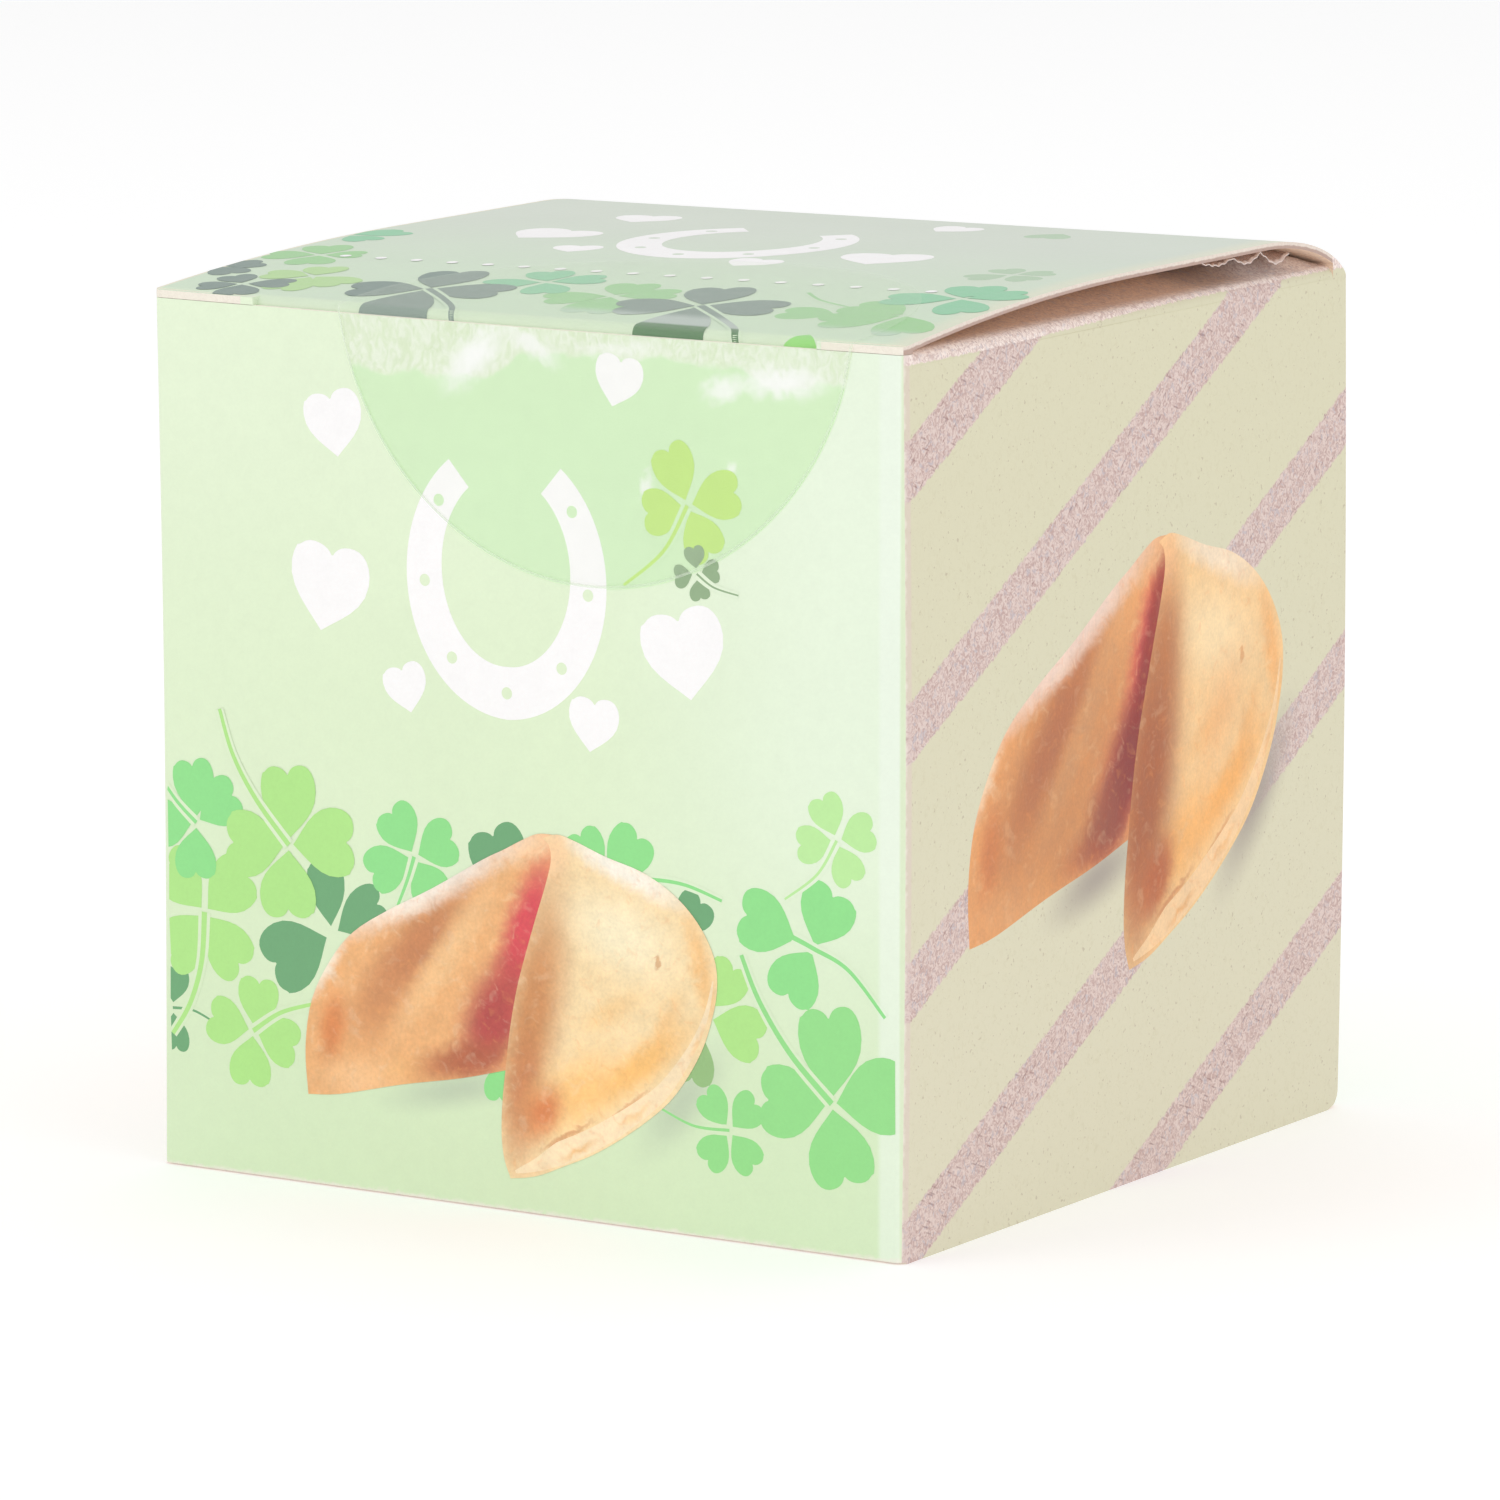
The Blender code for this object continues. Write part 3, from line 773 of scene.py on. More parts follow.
COOKIE_LAYER = 12
COOKIE_ANCHOR = (-1.3, 9.7)
SIDE_COOKIE_ANCHOR = (-0.75, 24.1)
SIDE_COOKIE_SCALES = (1.278, 1.226)
WING_STEPS = 4
LEFT_WING = [
    [(2.6, 26.3), (1.4, 26.25), (0.2, 25.75), (-1.4, 24.9), (-3.2, 24.0), (-7.2, 21.7), (-10.9, 19.8),
     (-13.8, 18.0), (-15.7, 15.9), (-17.3, 13.0), (-17.9, 9.6), (-17.7, 6.3)],
    [(-17.7, 6.3), (-15.0, 6.6), (-10.0, 7.8), (-5.0, 8.8), (-1.2, 9.8)],
    [(-1.2, 9.8), (-0.2, 13.3), (0.9, 16.5), (2.0, 19.7), (2.9, 22.8), (2.9, 24.8), (2.6, 26.3)],
]
RIGHT_WING = [
    [(1.8, 26.0), (2.9, 26.35), (4.3, 26.05), (6.8, 25.2), (9.5, 24.5), (11.6, 23.5), (13.3, 22.2),
     (14.6, 20.6), (15.4, 18.8), (15.5, 16.9), (15.1, 15.0), (14.4, 13.0), (13.2, 10.9), (11.7, 9.0),
     (9.8, 7.4), (7.8, 6.0), (5.6, 4.7), (3.4, 3.7), (1.0, 2.7), (-1.1, 2.3)],
    [(-1.1, 2.3), (-1.6, 3.6), (-1.8, 5.3), (-1.7, 7.6), (-1.4, 10.0), (-1.0, 12.8), (-0.4, 15.6),
     (0.4, 18.2), (1.2, 20.6), (1.9, 22.6), (2.4, 24.4), (2.3, 25.5), (1.8, 26.0)],
]
CRUST_ROUTE = [(15.2, 17.6), (14.7, 15.4), (13.8, 13.3), (12.5, 11.3), (11.0, 9.5), (9.1, 8.0), (7.2, 6.7),
               (5.1, 5.5), (3.0, 4.5), (1.1, 3.5), (-0.7, 2.8)]
CRUST_WIDTHS = (0.1, 0.6, 1.1, 1.5, 1.6, 0.2)


def wing_outline(runs):
    """A closed outline of smooth runs that meet in corners."""
    return [point for run in runs for point in smooth_route(run, WING_STEPS)[:-1]]


def cookie_shapes(finish, layer):
    """The printed cookie's two wings, flat, with their picture place kept as a UV map."""
    shapes = []
    for index, runs in enumerate((LEFT_WING, RIGHT_WING)):
        outline = wing_outline(runs)
        shapes.append(flat_shape("wing", outline, layer + index, finish[index]))
    route = smooth_route(CRUST_ROUTE, WING_STEPS)
    return shapes + [flat_ribbon("crust", route, CRUST_WIDTHS, layer + len(shapes), finish[2])]


def keep_picture_place(piece):
    """Store each corner's flat place, in millimetres, as the UV map that the tones follow."""
    layer = piece.data.uv_layers.new(name="picture")
    for loop in piece.data.loops:
        place = piece.data.vertices[loop.vertex_index].co
        layer.data[loop.index].uv = (place.x / MM, place.y / MM)


def grown_cookie(u, v, w):
    """Front panel place of the cookie to side panel place, where it is printed larger."""
    across = SIDE_COOKIE_ANCHOR[0] * MM + (u - COOKIE_ANCHOR[0] * MM) * SIDE_COOKIE_SCALES[0]
    up = SIDE_COOKIE_ANCHOR[1] * MM + (v - COOKIE_ANCHOR[1] * MM) * SIDE_COOKIE_SCALES[1]
    return across, up, w


# The white good-luck ornament: a horseshoe among hearts

SHOE_CENTRE = (-1.0, 43.6)
SHOE_RADII = (6.6, 8.0)
SHOE_OPENING = 34
SHOE_STEPS = 72
SHOE_WIDTHS = (2.4, 3.6, 2.4)
NAIL_COUNT = 6
NAIL_RADIUS = 0.42
NAIL_INSET = 0.35
HEART_WIDTH = 1.05
HEARTS = [((-14.6, 50.6), 8, 4.6), ((-16.2, 38.6), -12, 6.2), ((13.6, 36.4), 10, 6.2),
          ((7.6, 55.6), -14, 3.6), ((-8.8, 33.6), 14, 3.4), ((5.6, 32.2), -8, 3.8)]


def shoe_point(turn):
    """A point of the horseshoe's middle line."""
    return SHOE_CENTRE[0] + SHOE_RADII[0] * math.cos(turn), SHOE_CENTRE[1] + SHOE_RADII[1] * math.sin(turn)


def ornament_shapes(inks, ground, leaf, place):
    """A horseshoe with nail holes and hearts round it, its places moved by place."""
    start = math.radians(90 + SHOE_OPENING)
    end = math.radians(450 - SHOE_OPENING)
    route = [place(*shoe_point(turn)) for turn in spread(start, end, SHOE_STEPS)]
    shapes = [flat_ribbon("shoe", route, SHOE_WIDTHS, 0, inks["white"])]
    for turn in spread(start + NAIL_INSET, end - NAIL_INSET, NAIL_COUNT):
        centre = shoe_point(turn)
        hole = [place(*point) for point in circle(centre, NAIL_RADIUS)]
        shapes.append(flat_shape("nail_hole", hole, 1, ground))
    for centre, lean, size in HEARTS:
        laid = leaf_place(centre, 90 + lean, size, size * HEART_WIDTH, 0.0, 1)
        shapes.append(copied(leaf, inks["white"], lambda u, v: place(*laid(u, v)), 0))
    return shapes


# The row of dots across the lid

DOT_ROW_START = (-24.3, -15.0)
DOT_ROW_END = (22.3, -13.8)
DOT_COUNT = 16
DOT_RADIUS = 0.42
DOT_LAYER = 12


def dot_shapes(inks):
    """A row of round white dots."""
    shapes = []
    for share in spread(0.0, 1.0, DOT_COUNT):
        centre = [a + (b - a) * share for a, b in zip(DOT_ROW_START, DOT_ROW_END)]
        shapes.append(flat_shape("dot", circle(centre, DOT_RADIUS), DOT_LAYER, inks["white"]))
    return shapes


LID_PRINT_FRONT = FRONT_FOLD - 0.9 * MM
BACK_ORNAMENT_DROP = 3.2
LID_ORNAMENT_DROP = 41.2
LID_ORNAMENT_LEFT = 2.0
PANEL_INSET = 0.12 * MM


def off_lid(u, v):
    """Whether a printed place has run off the lid."""
    past_side = abs(u + BOW / 2) > HALF_WIDTH - PANEL_INSET
    front = LID_PRINT_FRONT if tucked(u) else front_y(u, WALL_TOP) + PANEL_INSET
    return past_side or v < front


def off_wall(u, v):
    """Whether a printed place has run over a wall's upright fold."""
    return abs(u) > HALF_WIDTH - CORNER_RADIUS or v < 0


def make_prints(finishes, inks):
    """All printed motifs on the front, the back, the lid and the sides."""
    leaf = flat_shape("leaf", leaf_outline(), 0, inks["mid"])
    fold = HALF_WIDTH - CORNER_RADIUS
    wall_us = [-fold] + rows_between(-fold, fold, PRINT_STEP) + [fold]
    wall_vs = [0.0] + rows_between(0.0, WALL_TOP, PRINT_STEP)
    lid_edge = HALF_WIDTH - PANEL_INSET
    lid_us = [-lid_edge - BOW / 2, TUCK_LEFT, TUCK_RIGHT, lid_edge - BOW / 2]
    lid_us += rows_between(-lid_edge, lid_edge, PRINT_STEP)
    bend = FRONT_FOLD + CARD + TUCK_FOLD_RADIUS
    lid_vs = spread(bend, LID_PRINT_FRONT, 2 * FOLD_STEPS) + [FRONT_FOLD + PANEL_INSET]
    lid_vs += rows_between(bend, BACK_FOLD, PRINT_STEP)
    pieces = []

    for panel, surface in (("front", on_front), ("back", on_back)):
        ground = finishes[panel + "_print"]
        shapes = []
        for clover in FRONT_CLOVERS:
            shapes += clover_shapes(clover, inks, ground, leaf)
        piece = joined(panel + "_clovers", shapes)
        pieces.append(lay_on(piece, surface, wall_us, wall_vs, off_wall))
        drop = BACK_ORNAMENT_DROP if panel == "back" else 0.0
        shapes = ornament_shapes(inks, ground, leaf, lambda u, v: (u, v - drop))
        pieces.append(lay_on(joined(panel + "_ornament", shapes), surface, wall_us, wall_vs))

    shapes = []
    for clover in LID_CLOVERS:
        shapes += clover_shapes(clover, inks, finishes["lid_print"], leaf)
    pieces.append(lay_on(joined("lid_clovers", shapes), on_lid, lid_us, lid_vs, off_lid))
    shapes = ornament_shapes(inks, finishes["lid_print"], leaf,
                             lambda u, v: (u - LID_ORNAMENT_LEFT, v - LID_ORNAMENT_DROP))
    pieces.append(lay_on(joined("lid_ornament", shapes + dot_shapes(inks)), on_lid, lid_us, lid_vs))

    for panel, surface in (("front", on_front), ("back", on_back), ("right", on_right), ("left", on_left)):
        grown = panel in ("right", "left")
        group = "side" if grown else "wall"
        wings = [finishes[group + part] for part in ("_cookie_left", "_cookie_right", "_cookie_crust")]
        piece = joined(panel + "_cookie", cookie_shapes(wings, 0 if grown else COOKIE_LAYER))
        keep_picture_place(piece)
        laid = (lambda u, v, w, s=surface: s(*grown_cookie(u, v, w))) if grown else surface
        pieces.append(lay_on(piece, laid, wall_us, wall_vs))

    bpy.data.objects.remove(leaf, do_unlink=True)
    for piece in pieces:
        dress(piece, "printed_card")


# The clear round seal over the lid's front edge

SEAL_RADIUS = 20.45
SEAL_ACROSS = 5.8
SEAL_PAST_EDGE = 2.75
SEAL_RIM_STEPS = 144
SEAL_LIFT = 0.06 * MM
SEAL_THICKNESS = 0.03 * MM
SEAL_FOLD_RADIUS = 0.5 * MM
SEAL_STEP = 1.0 * MM
SEAL_RIPPLE = 0.06 * MM
RIPPLE_SIZE = (2.6 * MM, 1.5 * MM)
RIPPLE_REACH = 5.0 * MM


def seal_lift(u, v):
    """How far the film stands off the card, in small ripples below the fold."""
    wave = noise.noise(Vector((u / RIPPLE_SIZE[0], v / RIPPLE_SIZE[1], 9.0)))
    near = math.exp(-(v / RIPPLE_REACH) ** 2)
    return SEAL_LIFT + SEAL_RIPPLE * near * (0.5 + 0.5 * wave)


def on_seal(u, v, w):
    """The seal's sheet: below the fold for v under nothing, on the lid above it."""
    lift = seal_lift(u, v) + w

    def on_wall(way):
        z = LID_FRONT_TOP + lift + way
        return Vector((u, front_y(u, z) - lift, z))

    def on_top(way):
        y = front_y(u, WALL_TOP) - lift + way
        return Vector((u, y, lid_top(u, y) + lift))

    if v <= -SEAL_FOLD_RADIUS:
        return on_wall(v)
    if v >= SEAL_FOLD_RADIUS:
        return on_top(v)
    t = (v / SEAL_FOLD_RADIUS + 1) / 2
    start, corner, end = on_wall(-SEAL_FOLD_RADIUS), on_wall(0.0), on_top(SEAL_FOLD_RADIUS)
    return start * (1 - t) ** 2 + corner * 2 * t * (1 - t) + end * t * t


def make_seal(film):
    """The clear round seal, folded over the lid's front edge."""
    rim = [(SEAL_ACROSS + SEAL_RADIUS * math.cos(turn), SEAL_PAST_EDGE + SEAL_RADIUS * math.sin(turn))
           for turn in spread(0.0, 2 * math.pi, SEAL_RIM_STEPS)[:-1]]
    seal = flat_shape("seal_film", rim, 0, film)
    seal.data.name = "seal_film"
    keep_picture_place(seal)
    reach = SEAL_RADIUS * MM
    across = SEAL_ACROSS * MM
    past = SEAL_PAST_EDGE * MM
    us = rows_between(across - reach, across + reach, SEAL_STEP)
    vs = rows_between(past - reach, -SEAL_FOLD_RADIUS, SEAL_STEP)
    vs += spread(-SEAL_FOLD_RADIUS, SEAL_FOLD_RADIUS, FOLD_STEPS)
    vs += rows_between(SEAL_FOLD_RADIUS, past + reach, SEAL_STEP)
    lay_on(seal, on_seal, us, vs, thickness=SEAL_THICKNESS)
    dress(seal, "clear_film", "seal")


# The crimped edge of the film wrapper, in the gap under the lid

WRAPPER_START = 11.0 * MM
WRAPPER_END = 23.3 * MM
WRAPPER_INNER = 21.0 * MM
WRAPPER_OUTER = 29.0 * MM
WRAPPER_THICKNESS = 0.07 * MM
WRAPPER_BEND = 27.2 * MM
WRAPPER_CLEARANCE = 0.1 * MM
WRAPPER_DROP = 0.15 * MM
SCALLOP_LENGTH = 4.1 * MM
SCALLOP_DEPTHS = (0.15 * MM, 0.95 * MM)
SCALLOP_ROUNDING = 0.6
CRIMP_LENGTH = 0.9 * MM
CRIMP_DEPTH = 0.05 * MM
WRAPPER_STEPS = (16, 120)


def wrapper_z(x, y):
    """The film lies under the lid and drops at its edge in scallops that grow towards the back."""
    share = (y - WRAPPER_START) / (WRAPPER_END - WRAPPER_START)
    depth = SCALLOP_DEPTHS[0] + (SCALLOP_DEPTHS[1] - SCALLOP_DEPTHS[0]) * share
    scallop = ((1 - math.cos(2 * math.pi * (y - WRAPPER_START) / SCALLOP_LENGTH)) / 2) ** SCALLOP_ROUNDING
    way = max((x - WRAPPER_BEND) / (WRAPPER_OUTER - WRAPPER_BEND), 0.0)
    crimp = CRIMP_DEPTH * math.sin(2 * math.pi * y / CRIMP_LENGTH) * way
    return lid_underside(x, y) - WRAPPER_CLEARANCE - (WRAPPER_DROP + depth * scallop) * way ** 2 + crimp


def make_wrapper(film):
    """The strip of crimped film that shows in the gap."""
    xs = spread(WRAPPER_INNER, WRAPPER_OUTER, WRAPPER_STEPS[0])
    ys = spread(WRAPPER_START, WRAPPER_END, WRAPPER_STEPS[1])

    def underside(column, row):
        x, y = xs[column], ys[row]
        return x, y, wrapper_z(x, y) - WRAPPER_THICKNESS

    strip = new_grid("wrapper_film_edge", *WRAPPER_STEPS, underside)
    raise_sheet(strip, wrapper_z)
    strip.data.materials.append(film)
    smooth(strip)
    dress(strip, "wrapper_film", "wrapper_edge")


# Shader helpers

def node(tree, kind, inputs=None, **settings):
    """Add a node with its settings and its inputs, which are values or sockets."""
    made = tree.nodes.new(kind)
    for name, value in settings.items():
        setattr(made, name, value)
    for name, value in (inputs or {}).items():
        if isinstance(value, bpy.types.NodeSocket):
            tree.links.new(value, made.inputs[name])
        else:
            made.inputs[name].default_value = value
    return made


def blend(tree, share, first, second, way="MIX"):
    """Mix two colours by a mask."""
    made = node(tree, "ShaderNodeMix", {0: share, 6: first, 7: second}, data_type="RGBA", blend_type=way)
    return made.outputs[2]


def colour(red, green, blue):
    """A colour as a screen shows it, from 0 to 255, turned to scene light."""
    return tuple(((c / 255 + 0.055) / 1.055) ** 2.4 for c in (red, green, blue)) + (1.0,)


def start_material(name):
    """A new material, with its node tree and its shader."""
    material = bpy.data.materials.new(name)
    material.use_nodes = True
    tree = material.node_tree
    return material, tree, tree.nodes["Principled BSDF"]


def reckon(tree, operation, first, second=None, third=None):
    """The result of a sum on one to three values or sockets."""
    values = {index: value for index, value in enumerate((first, second, third)) if value is not None}
    return node(tree, "ShaderNodeMath", values, operation=operation).outputs[0]


def times(tree, first, second):
    """One value or socket times another."""
    return reckon(tree, "MULTIPLY", first, second)


def reckon_place(tree, operation, first, second, third=None):
    """The result of a sum on two or three places, part by part."""
    values = {index: value for index, value in enumerate((first, second, third)) if value is not None}
    return node(tree, "ShaderNodeVectorMath", values, operation=operation).outputs[0]


def scaled(tree, place, factor):
    """A place or a tone times one factor."""
    return node(tree, "ShaderNodeVectorMath", {0: place, "Scale": factor}, operation="SCALE").outputs[0]


def flat_place(tree, across, up):
    """A place in the plane of the print."""
    return node(tree, "ShaderNodeCombineXYZ", {"X": across, "Y": up}).outputs[0]


def distance_to(tree, place, centre):
    """How far a place lies from a centre."""
    return node(tree, "ShaderNodeVectorMath", {0: place, 1: centre}, operation="DISTANCE").outputs["Value"]


def tint(tree, tone, mask, paint, share=None):
    """Lay a paint over a tone where the mask is, at a share of its strength."""
    mask = mask if share is None else times(tree, mask, share)
    return blend(tree, mask, tone, colour(*paint))


def turned(tree, place, turn, axis):
    """A place turned about one axis."""
    values = {"Vector": place, "Angle": turn}
    return node(tree, "ShaderNodeVectorRotate", values, rotation_type=axis).outputs[0]


def fade(tree, value, start, end):
    """A soft mask, nothing at start and full at end."""
    limits = {"Value": value, "From Min": start, "From Max": end}
    return node(tree, "ShaderNodeMapRange", limits, interpolation_type="SMOOTHSTEP").outputs["Result"]


def speckle(tree, place, size, detail=2.0, swirl=0.0):
    """Unevenness with spots of about this size."""
    values = {"Vector": place, "Scale": 1 / size, "Detail": detail, "Distortion": swirl}
    return node(tree, "ShaderNodeTexNoise", values).outputs[0]


def drifted(tree, flat, scale, detail, swirl, reach):
    """A place in the print shifted unevenly by up to about half this reach, and that unevenness."""
    rough = node(tree, "ShaderNodeTexNoise",
                 {"Vector": flat, "Scale": scale, "Detail": detail, "Distortion": swirl})
    moved = reckon_place(tree, "SUBTRACT", rough.outputs["Color"], (0.5, 0.5, 0.5))
    return reckon_place(tree, "MULTIPLY_ADD", moved, (reach, reach, 0.0), flat), rough.outputs[0]


SCALAR = "NodeSocketFloat"
VECTOR = "NodeSocketVector"
TONE = "NodeSocketColor"


def start_group(name, inputs, outputs):
    """A node group with its named inputs and outputs."""
    group = bpy.data.node_groups.new(name, "ShaderNodeTree")
    for label, kind in inputs:
        group.interface.new_socket(label, in_out="INPUT", socket_type=kind)
    for label, kind in outputs:
        group.interface.new_socket(label, in_out="OUTPUT", socket_type=kind)
    return group, group.nodes.new("NodeGroupInput").outputs, group.nodes.new("NodeGroupOutput").inputs


def placed(tree, group, values):
    """A node group placed in a material with its own values."""
    return node(tree, "ShaderNodeGroup", values, node_tree=group).outputs


# Grains have a size, then a detail and a swirl where these aren't the usual ones
FINE_GRAIN = (0.24 * MM,)
BROAD_GRAIN = (1.1 * MM,)
CLOUD_GRAIN = (11.0 * MM, 1.0)
MOTTLE_SHARES = (0.05, 0.05, 0.04)
MOTTLE_DEEPENS = -0.07
COAT_ROUGHNESS = (0.32, 0.25)
BROAD_RELIEF = 1.6


def coated_card_group():
    """Printed, coated card: mottled ink, an uneven satin coat and a fine relief."""
    group, given, result = start_group(
        "coated_card", [("Place", VECTOR), ("Color", TONE), ("Mottle", SCALAR)],
        [("Color", TONE), ("Roughness", SCALAR), ("Height", SCALAR)])
    layers = [speckle(group, given["Place"], *grain) for grain in (FINE_GRAIN, BROAD_GRAIN, CLOUD_GRAIN)]
    fine, broad = layers[:2]
    shift = MOTTLE_DEEPENS
    for unevenness, share in zip(layers, MOTTLE_SHARES):
        shift = reckon(group, "MULTIPLY_ADD", unevenness, share, shift)
    factor = reckon(group, "MULTIPLY_ADD", shift, given["Mottle"], 1.0)
    group.links.new(scaled(group, given["Color"], factor), result["Color"])
    least, more = COAT_ROUGHNESS
    group.links.new(reckon(group, "MULTIPLY_ADD", broad, more, least), result["Roughness"])
    group.links.new(reckon(group, "MULTIPLY_ADD", broad, BROAD_RELIEF, fine), result["Height"])
    return group


SWIRL_GRAIN = (0.45 * MM, 5.0, 2.2)
SWIRL_TONE = (196, 166, 160)
SWIRL_BAND = (0.38, 0.66)
FLECK_GRAIN = (0.5 * MM, 3.0, 1.0)
FLECK_TONE = (186, 184, 196)
FLECK_BAND = (0.54, 0.68)
FLECK_SHARE = 0.5
HAIR_TONE = (128, 84, 84)
HAIR_BAND = (0.3, 0.12)
HAIR_SHARE = 0.45
HAIR_RARITY = 0.83
HAIR_SINKS = -0.5
# Two sets of hairs: turn, size along each axis in millimetres
HAIR_SETS = [(0.35, (0.6, 1.9, 0.3)), (-0.7, (0.7, 1.5, 0.26))]


def raw_board_group():
    """Bare recycled board: swirling fibres, grey flecks and a few dark hairs."""
    group, given, result = start_group(
        "raw_board", [("Place", VECTOR), ("Color", TONE), ("Fibre", SCALAR)],
        [("Color", TONE), ("Height", SCALAR)])
    place = given["Place"]
    swirl = speckle(group, place, *SWIRL_GRAIN)
    tone = blend(group, fade(group, swirl, *SWIRL_BAND), given["Color"], colour(*SWIRL_TONE))
    flecks = fade(group, speckle(group, place, *FLECK_GRAIN), *FLECK_BAND)
    tone = tint(group, tone, flecks, FLECK_TONE, FLECK_SHARE)
    hairs = []
    for turn, stretch in HAIR_SETS:
        scale = tuple(1 / (part * MM) for part in stretch)
        drawn = reckon_place(group, "MULTIPLY", turned(group, place, turn, "X_AXIS"), scale)
        cells = node(group, "ShaderNodeTexVoronoi", {"Vector": drawn, "Scale": 1.0}).outputs
        chance = node(group, "ShaderNodeSeparateColor", {"Color": cells["Color"]}).outputs[0]
        rare = reckon(group, "GREATER_THAN", chance, HAIR_RARITY)
        hairs.append(times(group, fade(group, cells["Distance"], *HAIR_BAND), rare))
    hair = times(group, reckon(group, "MAXIMUM", *hairs), HAIR_SHARE)
    tone = tint(group, tone, hair, HAIR_TONE)
    mixed = blend(group, given["Fibre"], given["Color"], tone)
    group.links.new(mixed, result["Color"])
    group.links.new(reckon(group, "MULTIPLY_ADD", hair, HAIR_SINKS, swirl), result["Height"])
    return group


RAGGED_GRAIN = (0.6 * MM, 3.0)
RAGGED_SHARE = 1.2


def fold_wear_group():
    """Where a fold's ink has cracked: full on the fold, ragged towards the panel."""
    group, given, result = start_group(
        "fold_wear", [("Place", VECTOR), ("Distance", SCALAR), ("Reach", SCALAR)], [("Mask", SCALAR)])
    ragged = reckon(group, "MULTIPLY_ADD", speckle(group, given["Place"], *RAGGED_GRAIN), 2.0, -1.0)
    ragged = times(group, ragged, RAGGED_SHARE)
    reach = reckon(group, "MULTIPLY_ADD", ragged, given["Reach"], given["Reach"])
    group.links.new(fade(group, given["Distance"], reach, 0.0), result["Mask"])
    return group


def soft_spot_group():
    """An oval spot with a soft rim, in the plane of the print."""
    group, given, result = start_group(
        "soft_spot", [("Place", VECTOR), ("Across", SCALAR), ("Up", SCALAR), ("Turn", SCALAR),
                      ("Length", SCALAR), ("Width", SCALAR), ("Softness", SCALAR)], [("Mask", SCALAR)])
    centre = flat_place(group, given["Across"], given["Up"])
    offset = reckon_place(group, "SUBTRACT", given["Place"], centre)
    level = turned(group, offset, times(group, given["Turn"], -1.0), "Z_AXIS")
    size = {"X": given["Length"], "Y": given["Width"], "Z": 1.0}
    shrunk = reckon_place(group, "DIVIDE", level, node(group, "ShaderNodeCombineXYZ", size).outputs[0])
    reach = node(group, "ShaderNodeVectorMath", {0: shrunk}, operation="LENGTH").outputs["Value"]
    start = reckon(group, "SUBTRACT", 1.0, given["Softness"])
    group.links.new(fade(group, reach, 1.0, start), result["Mask"])
    return group


def spot(tree, groups, place, centre, turn, length, width, softness):
    """The mask of one soft spot."""
    return placed(tree, groups["soft_spot"], {
        "Place": place, "Across": centre[0], "Up": centre[1], "Turn": math.radians(turn),
        "Length": length, "Width": width, "Softness": softness})["Mask"]


def shared_effects():
    """The effects that several finishes share."""
    return {"coated_card": coated_card_group(), "raw_board": raw_board_group(),
            "fold_wear": fold_wear_group(), "soft_spot": soft_spot_group()}


def add_relief(tree, shader, height, depth):
    """Give the surface a fine relief of this depth."""
    bump = node(tree, "ShaderNodeBump", {"Height": height, "Distance": depth, "Strength": 1.0})
    tree.links.new(bump.outputs["Normal"], shader.inputs["Normal"])


def finish_card(tree, shader, groups, place, tone, mottle, relief):
    """Coat a printed tone and send it to the shader."""
    coat = placed(tree, groups["coated_card"], {"Place": place, "Color": tone, "Mottle": mottle})
    tree.links.new(coat["Color"], shader.inputs["Base Color"])
    tree.links.new(coat["Roughness"], shader.inputs["Roughness"])
    add_relief(tree, shader, coat["Height"], relief)


def own_place(tree):
    """Object coordinates."""
    return node(tree, "ShaderNodeTexCoord").outputs["Object"]


def picture_place(tree):
    """The flat place in the print, in millimetres."""
    return node(tree, "ShaderNodeUVMap", uv_map="picture").outputs[0]


def object_place(tree):
    """Object coordinates, and their parts in millimetres."""
    place = own_place(tree)
    parts = node(tree, "ShaderNodeSeparateXYZ", {0: scaled(tree, place, 1 / MM)}).outputs
    return place, parts[0], parts[1], parts[2]


# Tones of the prints, among them painted shade, glare, sheen, highlights and reflections

GREEN_LOW = (219, 238, 199)
GREEN_MIDDLE = (227, 243, 208)
GREEN_TOP = (233, 247, 217)
# Lighter green towards the walls' upper right: partly the print's own tone, partly painted sheen
GREEN_PALE_AND_SHEEN = (237, 249, 230)
# The lid's greens: the print darkened as painted shade and greyed as painted glare
LID_FRONT_SHADE_AND_GLARE = (212, 230, 205)
LID_BACK_SHADE_AND_GLARE = (216, 224, 211)
GREEN_SEALED = (216, 243, 199)
# Pale streaky haze where the film lies loose: the loose film's milkiness with painted sheen
LOOSE_HAZE_AND_SHEEN_LOW = (222, 236, 202)
LOOSE_HAZE_AND_SHEEN_HIGH = (242, 248, 232)
REFLECTION_WHITE = (255, 255, 253)
# Painted reflections of the light on the loose film, in millimetres from the fold: place, turn, length,
# width, share
PAINTED_REFLECTIONS = [
    ((-3.4, -2.8), 42, 4.4, 1.8, 1.0),
    ((1.2, -1.7), -25, 3.4, 1.1, 0.8),
    ((16.2, -3.6), 12, 2.4, 1.3, 0.8),
    ((20.6, -2.9), 4, 4.8, 1.5, 0.95),
    ((8.0, -1.5), 4, 5.0, 0.8, 0.5),
    ((-14.5, -1.7), 98, 3.0, 0.4, 0.9),
    ((16.4, -9.4), 60, 1.6, 0.8, 0.9),
    ((10.2, -10.4), 70, 1.3, 0.7, 0.7),
]
REFLECTION_SOFTNESS = 0.9
REFLECTION_DRIFT = (1.1, 4.0, 0.6, 1.6)
